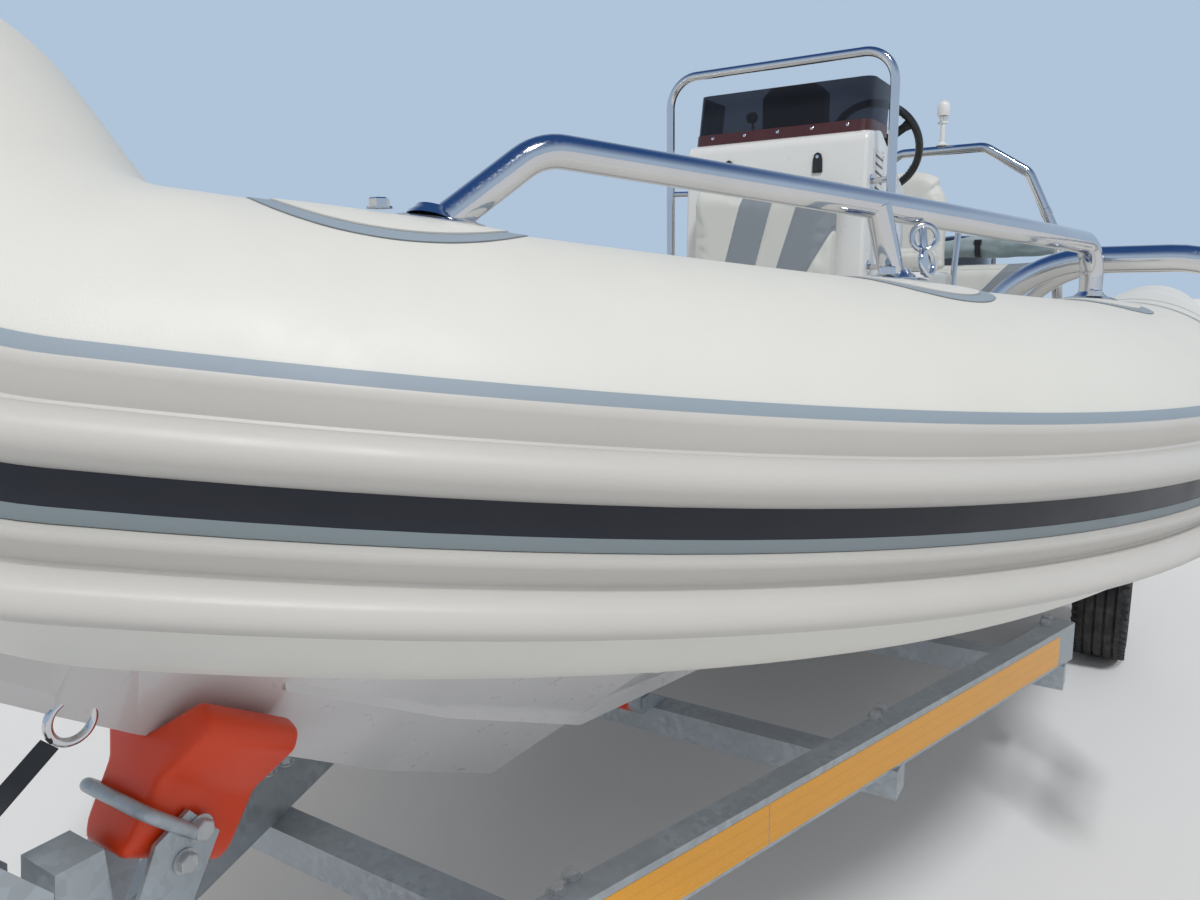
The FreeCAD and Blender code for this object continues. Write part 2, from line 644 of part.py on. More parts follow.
bench = size.bench_at
bench_front = bench + size.bench_long
profile_body("rear_bench", [
    (bench, -size.sole_drop), (bench_front, -size.sole_drop), (bench_front, size.bench_top),
    (bench, size.bench_top)], "bench_half_wide", fillet=18)
bench_low = size.bench_top + size.skin_gap
profile_body("rear_cushion", [
    (bench + BACKREST_ROOM, bench_low), (bench_front, bench_low),
    (bench_front, bench_low + size.cushion_thick),
    (bench + BACKREST_ROOM, bench_low + size.cushion_thick)], "bench_half_wide", fillet=24)
profile_body("rear_backrest", [
    (bench, bench_low), (bench + 105, bench_low), (bench + 75, size.bench_back_top),
    (bench, size.bench_back_top)], "bench_half_wide", fillet=24)

cover_r = size.cover_across / 2
cover_rise = size.bench_back_top + size.skin_gap + cover_r
add_feature("cover_roll", rod(point(bench + 38, -size.cover_half_long, cover_rise),
                              point(bench + 38, size.cover_half_long, cover_rise), cover_r))

# Stern arch and its light fitting.

arch_r = size.arch_tube / 2
half_arch = [(size.arch_at - size.arch_rake, size.arch_half_foot, -size.sole_drop),
             (size.arch_at, size.arch_half_knee, size.arch_knee_top),
             (size.arch_at, size.arch_half_shoulder, size.arch_shoulder_top),
             (size.arch_at, size.arch_half_top, size.arch_top)]
arch_points = half_arch + [(at, -side, rise) for at, side, rise in reversed(half_arch)]
arch = bent_tube([point(*place) for place in arch_points], arch_r, (200, 90, 90, 90, 90, 200))
add_feature("stern_arch", arch.cut(sole))

light_low = size.arch_top + arch_r + size.skin_gap
lamp_low, LAMP_R = light_low + size.light_tall - 88, 26
light = [Part.makeCylinder(30, 14, point(size.arch_at, 0, light_low)),
         rod(point(size.arch_at, 0, light_low + 14), point(size.arch_at, 0, lamp_low), 13),
         rod(point(size.arch_at, 0, lamp_low), point(size.arch_at, 0, lamp_low + 62), LAMP_R),
         Part.makeSphere(LAMP_R, point(size.arch_at, 0, lamp_low + 62))]
add_feature("arch_light", fused(light))

# Outboard motor: clamp bracket, tilting swivel, steered leg with its cowl, propeller.

board_rear = size.transom_at - size.skin_gap
pin_at, pin_rise = size.tilt_pin_at, -size.tilt_pin_drop
notch_rise = -size.motor_notch_drop
CHEEK_NEAR, CHEEK_FAR, PIN_R = 95, 120, 14
pin_ends = [point(pin_at, side, pin_rise) for side in (-CHEEK_FAR - 10, CHEEK_FAR + 10)]
cheek = [(board_rear, notch_rise - 330), (board_rear, notch_rise + 30), (pin_at + 20, pin_rise + 38),
         (pin_at - 30, pin_rise + 20), (pin_at - 30, pin_rise - 40), (size.transom_at - 40, notch_rise - 330)]
bracket = [side_plate(cheek, CHEEK_NEAR, CHEEK_FAR), side_plate(cheek, -CHEEK_FAR, -CHEEK_NEAR),
           block(point(size.transom_at - 22, -CHEEK_FAR, notch_rise - 300),
                 point(board_rear, CHEEK_FAR, notch_rise - 20)),
           rod(pin_ends[0], pin_ends[1], PIN_R)]
add_feature("motor_bracket", fused(bracket))

leg = size.motor_leg_at
swivel_at, STEER_R, PIN_CLEAR = leg + 95, 16, 0.05
SWIVEL_LOW, SWIVEL_HALF = -420, 88
swivel_top = pin_rise + 26
swivel = side_plate([(pin_at + 26, pin_rise - 26), (pin_at + 26, swivel_top), (swivel_at - 22, swivel_top),
                     (swivel_at - 22, SWIVEL_LOW), (swivel_at + 30, SWIVEL_LOW),
                     (swivel_at + 44, pin_rise - 90)], -SWIVEL_HALF, SWIVEL_HALF)
swivel = swivel.cut(rod(pin_ends[0], pin_ends[1], PIN_R + PIN_CLEAR))
swivel = swivel.cut(rod(point(swivel_at, 0, SWIVEL_LOW - 10), point(swivel_at, 0, swivel_top + 10),
                        STEER_R + PIN_CLEAR))
add_feature("motor_swivel", swivel)

gear_rise = -size.motor_deep
leg_front = swivel_at - 36
PLATE_RISE = -620


def leg_ring(rise, nose, tail, half):
    """One level of the motor's leg: a pointed oval of straight lines."""
    outline = [(nose, 0), (nose - 45, half), (tail + 90, half), (tail, 0), (tail + 90, -half),
               (nose - 45, -half)]
    ring = [point(at, side, rise) for at, side in outline]
    return Part.makePolygon(ring + [ring[0]])


mid = Part.makeLoft([leg_ring(60, leg_front, leg - 230, 90), leg_ring(-430, leg_front, leg - 170, 62),
                     leg_ring(PLATE_RISE, leg_front - 10, leg - 150, 36),
                     leg_ring(gear_rise + 30, leg_front - 20, leg - 130, 26)], True, True)
plate = [(leg_front - 6, 0), (leg_front - 70, 95), (leg - PLATE_REACH, 110), (leg - PLATE_REACH, -110),
         (leg_front - 70, -95)]
plate = prism([point(at, side, PLATE_RISE) for at, side in plate], Vector(0, 0, 12))
gear = [(leg + 100, 0), (leg + 60, 34), (leg - 20, 52), (leg - 190, 44), (leg - 190, 0), (leg + 100, 0)]
gear = Part.Face(Part.makePolygon([point(at, 0, reach) for at, reach in gear]))
gear = gear.revolve(point(0, 0, 0), AHEAD, 360)
gear.translate(Vector(0, 0, gear_rise))
skeg = side_plate([(leg + 30, gear_rise - 30), (leg - 170, gear_rise - 30), (leg - 190, gear_rise - 195),
                   (leg - 110, gear_rise - 200)], -7, 7)
ARM_CLEAR = 0.5
steer = [rod(point(swivel_at, 0, SWIVEL_LOW - 35), point(swivel_at, 0, swivel_top + 30), STEER_R),
         block(point(leg_front - 60, -34, swivel_top + ARM_CLEAR), point(swivel_at + 24, 34, swivel_top + 34)),
         block(point(leg_front - 60, -30, SWIVEL_LOW - 35), point(swivel_at + 24, 30, SWIVEL_LOW - ARM_CLEAR))]
add_feature("motor_leg", fused([mid, plate, gear, skeg] + steer))


def cowl_ring(rise, nose, tail, half):
    outline = [(nose, half * 0.55), (nose - 90, half), (tail + 110, half), (tail, half * 0.6)]
    ring = [point(at, side, rise) for at, side in outline]
    ring += [point(at, -side, rise) for at, side in reversed(outline)]
    return Part.makePolygon(ring + [ring[0]])


half = size.cowl_half_wide
cowl = [cowl_ring(60 + size.skin_gap, leg + 190, leg - 290, half * 0.8),
        cowl_ring(140, leg + 215, leg - 325, half),
        cowl_ring(size.cowl_top - 130, leg + 205, leg - 320, half * 0.98),
        cowl_ring(size.cowl_top - 30, leg + 150, leg - 270, half * 0.8),
        cowl_ring(size.cowl_top, leg + 80, leg - 200, half * 0.5)]
add_feature("motor_cowl", Part.makeLoft(cowl, True, True))

prop_start, HUB_LONG, BLADE_R = leg - 190.5, 120, 68
prop = [rod(point(prop_start - HUB_LONG, 0, gear_rise), point(prop_start, 0, gear_rise), size.prop_hub_radius)]
for turn in (0, 120, 240):
    blade = Part.makeCylinder(BLADE_R, 7, Vector(0, 0, -3.5))
    widen = Matrix()
    widen.A11 = 0.95
    widen.A22 = 1.05
    blade = blade.transformGeometry(widen)
    blade.Placement = Placement(Vector(0, 0, 0), Rotation(Vector(0, 0, 1), AHEAD))
    blade.rotate(Vector(0, 0, 0), Vector(0, 0, 1), 28)
    blade.translate(Vector(0, 0, size.prop_radius - BLADE_R))
    blade.rotate(Vector(0, 0, 0), AHEAD, turn)
    blade.translate(point(prop_start - HUB_LONG / 2, 0, gear_rise))
    prop.append(blade)
add_feature("propeller", fused(prop))

# Bow eye on the stem.

EYE_R, EYE_BAR = 28, 6
eye_at = BOW_AT + 23
eye_rise = keel_rise(eye_at)
eye = Part.makeTorus(EYE_R, EYE_BAR, point(eye_at, 0, eye_rise), Vector(0, 1, 0)).cut(hull)
add_feature("bow_eye", max(eye.Solids, key=lambda solid: solid.Volume))

# Trailer frame: a drawbar, two beams that spread from it to the wheels, side
# rails behind them and cross members under both.

beam_low = BEAM_FLOOR - AXIS_Z
beam_top = beam_low + size.beam_deep
beam_mid = beam_low + size.beam_deep / 2
cross_mid = beam_low - size.cross_deep / 2
rail_face = size.beam_wide / 2
meet_at = BOW_AT + size.beams_meet_ahead


def beam_side(station):
    """The distance from the centreline to a spreading beam's middle."""
    near = size.drawbar_half / 2
    share = max(0, meet_at - station) / (meet_at - size.frame_spread_at)
    return near + share * (size.frame_half_spread - near)


spread = beam(point(meet_at, beam_side(meet_at), beam_mid),
              point(size.frame_spread_at, size.frame_half_spread, beam_mid), size.beam_wide, size.beam_deep)
side_rail = beam(point(size.frame_spread_at + 90, size.side_rail_half, beam_mid),
                 point(size.frame_tail_at, size.side_rail_half, beam_mid), size.beam_wide, size.beam_deep)
frame = [spread, mirrored(spread), side_rail, mirrored(side_rail),
         block(point(meet_at - 200, -size.drawbar_half, beam_low), point(nose_at + 30, size.drawbar_half, beam_top))]
CROSS_STATIONS = (size.frame_spread_at + 40, size.cross_mid_at, BOW_AT - size.cross_front_aft,
                  size.frame_tail_at + 60)
for station in CROSS_STATIONS:
    half = size.side_rail_half if station < size.frame_spread_at else beam_side(station)
    half += rail_face
    frame.append(beam(point(station, -half, cross_mid), point(station, half, cross_mid),
                      size.cross_wide, size.cross_deep))
frame = fused(frame)
add_feature("trailer_frame", frame)

# Axle, leaf springs, wheels and mudguards.

axle_rise = size.tyre_radius - AXIS_Z
axle_end = size.track_half - size.tyre_wide / 2 - 12
spindle_end = size.track_half + 42
axle = [beam(point(size.axle_at, -axle_end, axle_rise), point(size.axle_at, axle_end, axle_rise),
             size.axle_beam, size.axle_beam),
        rod(point(size.axle_at, -spindle_end, axle_rise), point(size.axle_at, spindle_end, axle_rise),
            size.spindle_radius)]
add_feature("axle", fused(axle))

SPRING_REACH, SPRING_SEAT, LEAF = 300, 60, 12
spring_low, spring_high = axle_rise + size.axle_beam / 2 + size.skin_gap, beam_low - size.skin_gap
spring = [(-SPRING_REACH, spring_high), (-SPRING_REACH, spring_high - LEAF), (-SPRING_SEAT, spring_low),
          (SPRING_SEAT, spring_low), (SPRING_REACH, spring_high - LEAF), (SPRING_REACH, spring_high),
          (SPRING_REACH - 60, spring_high), (SPRING_SEAT, spring_low + LEAF), (-SPRING_SEAT, spring_low + LEAF),
          (60 - SPRING_REACH, spring_high)]
spring = side_plate([(size.axle_at + along, rise) for along, rise in spring],
                    size.side_rail_half - 25, size.side_rail_half + 25)
add_feature("leaf_springs", both_sides(spring))


def wheel_outline(side, half_wide, outer, inner, shoulder):
    """A ring's half-section across a wheel, as (side, reach) pairs."""
    middle = side * size.track_half
    return [(middle - half_wide, inner), (middle - half_wide, outer - shoulder),
            (middle - half_wide + shoulder, outer), (middle + half_wide - shoulder, outer),
            (middle + half_wide, outer - shoulder), (middle + half_wide, inner)]


TREAD_SHOULDER, BARREL_THICK, FIT = 24, 14, 0.02
for side, label in ((1, "tyre_port"), (-1, "tyre_starboard")):
    turned_body(label, wheel_outline(side, size.tyre_wide / 2, size.tyre_radius, size.rim_radius,
                                     TREAD_SHOULDER), size.axle_at, axle_rise)


def across(start, end, radius):
    """A round bar along the axle between two side distances."""
    return rod(point(size.axle_at, start, axle_rise), point(size.axle_at, end, axle_rise), radius)


VENT_R, VENT_CIRCLE, VENTS = 20, 115, 6
barrel = turned(wheel_outline(1, size.tyre_wide / 2 - 14, size.rim_radius - FIT,
                              size.rim_radius - BARREL_THICK, 0.5), size.axle_at, axle_rise)
disc_side = size.track_half + 14
rim = fused([barrel, across(disc_side, disc_side + 12, size.rim_radius - 8),
             across(size.track_half - 30, size.track_half + 40, 52),
             across(size.track_half + 40, size.track_half + 52, 30)])
rim = rim.cut(across(size.track_half - 60, spindle_end + 1, size.spindle_radius + 0.05))
for place in range(VENTS):
    turn = 2 * math.pi * place / VENTS
    vent = Part.makeCylinder(VENT_R, 40, point(size.axle_at + VENT_CIRCLE * math.cos(turn), disc_side - 10,
                                               axle_rise + VENT_CIRCLE * math.sin(turn)), Vector(0, 1, 0))
    rim = rim.cut(vent)
add_feature("rim_port", rim)
add_feature("rim_starboard", mirrored(rim))

guard_r = size.tyre_radius + size.guard_gap
guard_half = size.tyre_wide / 2 + 25
guard = across(size.track_half - guard_half, size.track_half + guard_half, guard_r + size.guard_thick)
guard = guard.cut(across(size.track_half - guard_half - 1, size.track_half + guard_half + 1, guard_r))
guard = guard.common(block(point(size.axle_at - 600, 0, axle_rise - 40), point(size.axle_at + 600, 2000, 0)))
stay_rise, STAY_HALF = beam_mid + 35, 15
stay_reach = math.sqrt(guard_r ** 2 - (stay_rise - axle_rise) ** 2)
guard = [guard]
for station in (size.axle_at + stay_reach, size.axle_at - stay_reach):
    guard.append(block(point(station - STAY_HALF, size.side_rail_half + rail_face, stay_rise - STAY_HALF),
                       point(station + STAY_HALF, size.track_half + guard_half, stay_rise + STAY_HALF)))
add_feature("mudguards", both_sides(fused(guard)))

# Bow stand: post, orange snubbing block that the stem rests in, winch and strap.

post_at, post_top = BOW_AT + size.post_ahead, -size.post_drop
POST_HALF, POST_BACK, POST_FRONT = 40, 50, 20
BASE_THICK, ARM_NEAR, ARM_FAR = 8, 62, 70
base_top = beam_top + size.skin_gap + BASE_THICK
block_at = BOW_AT - size.block_aft
stem_slope = math.atan2(keel_rise(block_at + 40) - keel_rise(block_at - 40), 80)
BLOCK_PIN_DROP, BLOCK_PIN_R = 95, 10
pin_x = block_at + BLOCK_PIN_DROP * math.sin(stem_slope)
pin_z = keel_rise(block_at) - BLOCK_PIN_DROP * math.cos(stem_slope)
base_half = beam_side(post_at) + rail_face
post = [block(point(post_at - POST_BACK, -base_half, beam_top + size.skin_gap),
              point(post_at + POST_BACK, base_half, base_top)),
        side_plate([(post_at - POST_BACK, base_top), (post_at + POST_BACK, base_top),
                    (post_at + POST_FRONT, post_top - 30), (post_at - 40, post_top - 30)],
                   -POST_HALF, POST_HALF)]
arm = [(post_at - 45, beam_top + 20), (post_at + 30, beam_top + 20), (pin_x + 62, pin_z + 8),
       (pin_x + 12, pin_z + 32), (pin_x - 28, pin_z - 20)]
post += [side_plate(arm, ARM_NEAR, ARM_FAR), side_plate(arm, -ARM_FAR, -ARM_NEAR),
         rod(point(pin_x, -ARM_FAR - 4, pin_z), point(pin_x, ARM_FAR + 4, pin_z), BLOCK_PIN_R),
         block(point(post_at - 45, -ARM_FAR, base_top), point(post_at + 30, ARM_FAR, beam_top + 26))]
post = fused(post)
add_feature("winch_post", post)

along_stem = Vector(math.cos(stem_slope), 0, math.sin(stem_slope))
off_stem = Vector(-math.sin(stem_slope), 0, math.cos(stem_slope))
snub = [(0, 6), (95, 81), (145, 66), (150, 26), (62, -64), (58, -154)]
snub += [(-side, up) for side, up in reversed(snub[1:])]
snub_start = point(block_at, 0, keel_rise(block_at)) - along_stem * (size.block_long / 2)
snub = prism([snub_start + Vector(0, side, 0) + off_stem * up for side, up in snub],
             along_stem * size.block_long)
snub = snub.cut(hull).cut(post).cut(rod(point(pin_x, -ARM_FAR - 10, pin_z), point(pin_x, ARM_FAR + 10, pin_z),
                                        BLOCK_PIN_R + 0.4))
add_feature("bow_block", max(snub.Solids, key=lambda solid: solid.Volume))

# Winch: side plates on the post's front, a drum with its crank, and the strap to the bow eye.

winch_at, winch_rise = post_at + 150, post_top + 20
DRUM_HALF, CORE_R, SHAFT_R, CHEEK_GAP = 48, 26, 11, 4
plate_back, PLATE_THICK = post_at + POST_BACK, 5
winch_plate = [(plate_back, base_top + 60), (winch_at + 40, winch_rise - 50), (winch_at + 45, winch_rise + 30),
               (winch_at - 40, winch_rise + 40), (plate_back - 19, post_top - 40)]
near, far = DRUM_HALF + CHEEK_GAP, DRUM_HALF + CHEEK_GAP + PLATE_THICK
winch_body = [side_plate(winch_plate, near, far), side_plate(winch_plate, -far, -near),
              side_plate([(plate_back + 1, base_top + 60), (plate_back + 7, base_top + 60),
                          (plate_back - 12, post_top - 60), (plate_back - 18, post_top - 60)], -far, far)]
shaft_bore = rod(point(winch_at, -200, winch_rise), point(winch_at, 200, winch_rise), SHAFT_R + 0.05)
add_feature("winch_body", fused(winch_body).cut(post).cut(shaft_bore))


def on_drum(start, end, radius):
    return rod(point(winch_at, start, winch_rise), point(winch_at, end, winch_rise), radius)


crank_side = DRUM_HALF + 40
crank_end = point(winch_at + 145, crank_side, winch_rise + 92)
winch_drum = [on_drum(-DRUM_HALF - 12, crank_side + 8, SHAFT_R), on_drum(-DRUM_HALF, DRUM_HALF, CORE_R),
              on_drum(-DRUM_HALF, -DRUM_HALF + 4, size.drum_radius),
              on_drum(DRUM_HALF - 4, DRUM_HALF, size.drum_radius),
              beam(point(winch_at, crank_side, winch_rise), crank_end + Vector(5, 0, 3), 8, 24),
              rod(crank_end, crank_end + Vector(0, 95, 0), 14)]
add_feature("winch_drum", fused(winch_drum))

STRAP_THICK, STRAP_WIDE = 2, 40
strap_start = point(winch_at - CORE_R - STRAP_THICK / 2 - size.skin_gap, 0, winch_rise)
to_winch = (strap_start - point(eye_at, 0, eye_rise)).normalize()
strap_end = point(eye_at, 0, eye_rise) + to_winch * (EYE_R + EYE_BAR + size.skin_gap)
add_feature("winch_strap", beam(strap_start, strap_end, STRAP_WIDE, STRAP_THICK))

# Coupler with its ball socket.

HOUSING_R, SOCKET_DEEP = 44, 38
socket_r = size.ball_radius + 0.4
ball = point(nose_at + size.coupler_long - 60 - HOUSING_R, 0, beam_low + 40)
coupler = [block(point(nose_at + 30 + size.skin_gap, -36, beam_low + 20),
                 ball + Vector(-36, 36, 52)),
           Part.makeSphere(HOUSING_R, ball), rod(ball - Vector(0, 0, SOCKET_DEEP), ball, HOUSING_R - 4)]
coupler = fused(coupler).cut(rod(ball - Vector(0, 0, SOCKET_DEEP + 22), ball, socket_r))
add_feature("coupler", coupler.cut(Part.makeSphere(socket_r, ball)))

# Jockey wheel: clamped mast, castoring fork and a solid wheel.

jockey_at = BOW_AT + size.jockey_ahead
jockey_side = max(size.drawbar_half, beam_side(jockey_at) + rail_face) + size.mast_radius + 22
jockey_rise = size.jockey_radius - AXIS_Z
mast_low = jockey_rise + size.jockey_radius + 40
mast_top, HANDLE = beam_top + size.mast_over_beam, 120
mast = [rod(point(jockey_at, jockey_side, mast_low), point(jockey_at, jockey_side, mast_top), size.mast_radius),
        block(point(jockey_at - 34, 0, beam_low + 22), point(jockey_at + 34, jockey_side + 34, beam_low + 88)),
        rod(point(jockey_at, jockey_side, mast_top), point(jockey_at, jockey_side, mast_top + 25), 9),
        beam(point(jockey_at, jockey_side, mast_top + 20),
             point(jockey_at + HANDLE, jockey_side, mast_top + 20), 16, 10),
        rod(point(jockey_at + HANDLE - 5, jockey_side, mast_top + 20),
            point(jockey_at + HANDLE - 5, jockey_side, mast_top + 90), 12)]
mast = fused(mast).cut(frame).common(block(point(jockey_at - 200, size.skin_gap, -AXIS_Z),
                                           point(jockey_at + 200, 900, mast_top + 200)))
add_feature("jockey_mast", max(mast.Solids, key=lambda solid: solid.Volume))

hub_at = jockey_at - size.jockey_trail
FORK_THICK, AXLE_R = 5, 8
fork_near = size.jockey_wide / 2 + 8
fork_far = fork_near + FORK_THICK
fork = [block(point(hub_at - 20, jockey_side - fork_far, mast_low - 10),
              point(jockey_at + 26, jockey_side + fork_far, mast_low - 1)),
        rod(point(jockey_at, jockey_side, mast_low - 10), point(jockey_at, jockey_side, mast_low - 0.5),
            size.mast_radius + 2),
        rod(point(hub_at, jockey_side - fork_far - 3, jockey_rise),
            point(hub_at, jockey_side + fork_far + 3, jockey_rise), AXLE_R)]
fork_outline = [(hub_at - 20, jockey_rise - 18), (hub_at + 18, jockey_rise - 18),
                (jockey_at + 26, mast_low - 10), (hub_at - 20, mast_low - 10)]
fork += [side_plate(fork_outline, jockey_side + fork_near, jockey_side + fork_far),
         side_plate(fork_outline, jockey_side - fork_far, jockey_side - fork_near)]
add_feature("jockey_fork", fused(fork))
jockey_half, hub_half = size.jockey_wide / 2, size.jockey_wide / 2 + 5
jockey_bore = AXLE_R + 0.05
turned_body("jockey_wheel", [
    (jockey_side - hub_half, jockey_bore), (jockey_side - hub_half, 24), (jockey_side - jockey_half, 24),
    (jockey_side - jockey_half, size.jockey_radius), (jockey_side + jockey_half, size.jockey_radius),
    (jockey_side + jockey_half, 24), (jockey_side + hub_half, 24), (jockey_side + hub_half, jockey_bore)],
    hub_at, jockey_rise)

# Keel rollers on brackets, bunks under the hull's bottom, and the light board.

ROLLER_PIN, BRACKET = 8, 6
roller_rise = -size.keel_drop - size.roller_radius - size.skin_gap
roller_offset = size.cross_wide / 2 + 8 + size.roller_radius
roller_half = size.roller_long / 2
keel_rollers = []
for station in CROSS_STATIONS:
    at = station + roller_offset
    if at > HULL_ROWS[2][0]:
        continue
    roller = [rod(point(at, -roller_half, roller_rise), point(at, roller_half, roller_rise), size.roller_radius),
              rod(point(at, -roller_half - 7, roller_rise), point(at, roller_half + 7, roller_rise), ROLLER_PIN)]
    cheek = [(station - 30, beam_low + size.skin_gap), (station + 30, beam_low + size.skin_gap),
             (at + 16, roller_rise - 16), (at + 16, roller_rise + 14), (at - 16, roller_rise + 14)]
    near, far = roller_half + 1, roller_half + 1 + BRACKET
    roller += [side_plate(cheek, near, far), side_plate(cheek, -far, -near)]
    keel_rollers.append(fused(roller))
add_feature("keel_rollers", Part.makeCompound(keel_rollers))

chine_half = (size.tube_half_beam - size.chine_inset) * CHINE_FLAT
deadrise = math.degrees(math.atan2(size.keel_drop - CHINE_LIP + HULL_ROWS[1][2], chine_half))
bunk_rise = -size.keel_drop + size.bunk_half * math.tan(math.radians(deadrise))
BUNK_WIDE, BUNK_THICK = 110, 45
bunk_start = size.frame_tail_at + 30
bunk = Part.makeBox(size.bunk_long, BUNK_WIDE, BUNK_THICK, Vector(0, -BUNK_WIDE / 2, -BUNK_THICK - 1))
bunk.Placement = Placement(point(bunk_start, size.bunk_half, bunk_rise), Rotation(AHEAD, deadrise))
bunk_parts = [bunk]
foot_low = beam_top + size.skin_gap
for station in (bunk_start + 40, bunk_start + size.bunk_long - 260):
    bunk_parts.append(block(point(station - 25, size.bunk_half - 20, foot_low),
                            point(station + 25, size.bunk_half + 20, bunk_rise - 62)))
    bunk_parts.append(block(point(station - 25, size.bunk_half - 20, foot_low),
                            point(station + 25, size.side_rail_half + 20, foot_low + 8)))
add_feature("bunks", both_sides(fused(bunk_parts).cut(hull)))

board = [block(point(size.light_board_at - 22, -size.board_half_wide, beam_mid - 60),
               point(size.light_board_at, size.board_half_wide, beam_mid + 60))]
for side in (1, -1):
    board.append(block(point(size.light_board_at, side * size.side_rail_half - 22, beam_mid - 24),
                       point(size.frame_tail_at - size.skin_gap, side * size.side_rail_half + 22,
                             beam_mid + 24)))
add_feature("light_board", fused(board))


doc.recompute()

failed = [obj.Name for obj in doc.Objects if set(obj.State) & {"Invalid", "Error"}]
for label, obj in parts.items():
    if obj.Shape.isNull() or not obj.Shape.isValid():
        failed.append(label)
if failed:
    raise SystemExit("failed: " + ", ".join(failed))
os.makedirs("parts", exist_ok=True)
for label, obj in parts.items():
    obj.Shape.exportStep(f"parts/{label}.step")
print(len(parts), "sub-parts")
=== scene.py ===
import math

import bmesh
import bpy
from bpy.props import FloatProperty, FloatVectorProperty, IntProperty, PointerProperty
from mathutils import Matrix, Quaternion, Vector, noise


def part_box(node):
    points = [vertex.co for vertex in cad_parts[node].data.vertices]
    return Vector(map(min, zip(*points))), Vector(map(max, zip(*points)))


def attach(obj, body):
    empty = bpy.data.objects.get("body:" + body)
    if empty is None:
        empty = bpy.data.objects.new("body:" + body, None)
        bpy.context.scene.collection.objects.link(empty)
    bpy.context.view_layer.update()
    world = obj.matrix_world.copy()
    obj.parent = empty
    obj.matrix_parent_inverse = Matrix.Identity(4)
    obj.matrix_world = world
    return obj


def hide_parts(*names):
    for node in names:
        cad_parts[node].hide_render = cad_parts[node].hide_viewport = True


bl_info = {
    "name": "Rigid Inflatable Boat on Trailer",
    "version": (1, 0, 0),
    "blender": (4, 5, 0),
    "location": "View3D > Sidebar > Boat",
    "description": "Dresses the boat and its road trailer, piece by piece",
    "category": "Object",
}

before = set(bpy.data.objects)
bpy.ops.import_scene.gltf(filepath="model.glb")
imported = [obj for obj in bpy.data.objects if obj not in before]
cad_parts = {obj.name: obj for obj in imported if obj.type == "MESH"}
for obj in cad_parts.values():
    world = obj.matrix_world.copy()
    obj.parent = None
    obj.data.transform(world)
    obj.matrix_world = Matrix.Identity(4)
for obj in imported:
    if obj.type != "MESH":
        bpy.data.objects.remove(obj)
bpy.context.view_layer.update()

BOAT = "boat_on_trailer"
TUBE_LOW, TUBE_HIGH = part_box("tube_port")
TRANSOM_LOW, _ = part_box("transom")

TUBE_RADIUS = 0.250
HALF_BEAM = TUBE_HIGH.y - TUBE_RADIUS
TRANSOM_AT = -3.300
BOW_X = TRANSOM_LOW.x - TRANSOM_AT
SKIN = TUBE_RADIUS + 0.0003


def vec(x, y, z):
    return Vector((x, y, z))


# The tube's path: a straight run, a wide bend in a plane that climbs inboard, and a
# tight bend, rolled further up, that brings it across the bow. Both sides meet there.

BOW_SLOPE = 0.1932
WIDE_TURN, NOSE_ROLL, TIGHT_BEND = math.radians(51.05), math.radians(45.4), 0.3125
LEAN = math.hypot(1, BOW_SLOPE)
AHEAD = vec(1, 0, 0)
INBOARD = vec(0, -1, BOW_SLOPE) / LEAN
UPRIGHT = vec(0, BOW_SLOPE, 1) / LEAN
BEND_AHEAD = AHEAD * math.cos(WIDE_TURN) + INBOARD * math.sin(WIDE_TURN)
BEND_INWARD = INBOARD * math.cos(WIDE_TURN) - AHEAD * math.sin(WIDE_TURN)
NOSE_INWARD = BEND_INWARD * math.cos(NOSE_ROLL) + UPRIGHT * math.sin(NOSE_ROLL)
NOSE_AXIS = BEND_AHEAD.cross(NOSE_INWARD)
TIGHT_TURN = math.atan2(BEND_AHEAD.x, -NOSE_INWARD.x)
nose_shift = BEND_AHEAD * math.sin(TIGHT_TURN) + NOSE_INWARD * (1 - math.cos(TIGHT_TURN))
WIDE_BEND = (HALF_BEAM + TIGHT_BEND * nose_shift.y) * LEAN / (1 - math.cos(WIDE_TURN))
BOW_AT = WIDE_BEND * math.sin(WIDE_TURN)

# The tubes' axis over the keel.

AXIS_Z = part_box("hull")[0].z + 0.700


def at(station, side, rise):
    """A place by its station along the boat, its side distance and its rise from the tubes' axis."""
    return vec(BOW_X + station, side, AXIS_Z + rise)


PATH_START = at(0, HALF_BEAM, 0)
WIDE_CENTRE = PATH_START + INBOARD * WIDE_BEND
WIDE_LONG = WIDE_BEND * WIDE_TURN
WIDE_END_TURN = Quaternion(UPRIGHT, -WIDE_TURN)
WIDE_END = WIDE_CENTRE + WIDE_END_TURN @ (PATH_START - WIDE_CENTRE)
TIGHT_CENTRE = WIDE_END + NOSE_INWARD * TIGHT_BEND


def path_place(distance):
    """The path's point and its turn, at a distance forward of the bow curve's start."""
    if distance <= 0:
        return PATH_START + vec(distance, 0, 0), Quaternion()
    if distance <= WIDE_LONG:
        turn = Quaternion(UPRIGHT, -distance / WIDE_BEND)
        return WIDE_CENTRE + turn @ (PATH_START - WIDE_CENTRE), turn
    turn = Quaternion(NOSE_AXIS, (distance - WIDE_LONG) / TIGHT_BEND)
    return TIGHT_CENTRE + turn @ (WIDE_END - TIGHT_CENTRE), turn @ WIDE_END_TURN


def on_tube(distance, angle, reach):
    """A place round the port tube: along its path, by angle from level outboard, at a reach from its axis."""
    centre, turn = path_place(distance)
    spoke = vec(0, reach * math.cos(angle), reach * math.sin(angle))
    return centre + turn @ spoke


def distance_at(station):
    """The path's distance over a station."""
    return station if station <= 0 else WIDE_BEND * math.asin(station / WIDE_BEND)


def over_crest(station, height):
    """A place straight above the tube's axis, at a height over its crest."""
    centre, _ = path_place(distance_at(station))
    return centre + vec(0, 0, TUBE_RADIUS + height)


# Sizes and colours that a user would change.


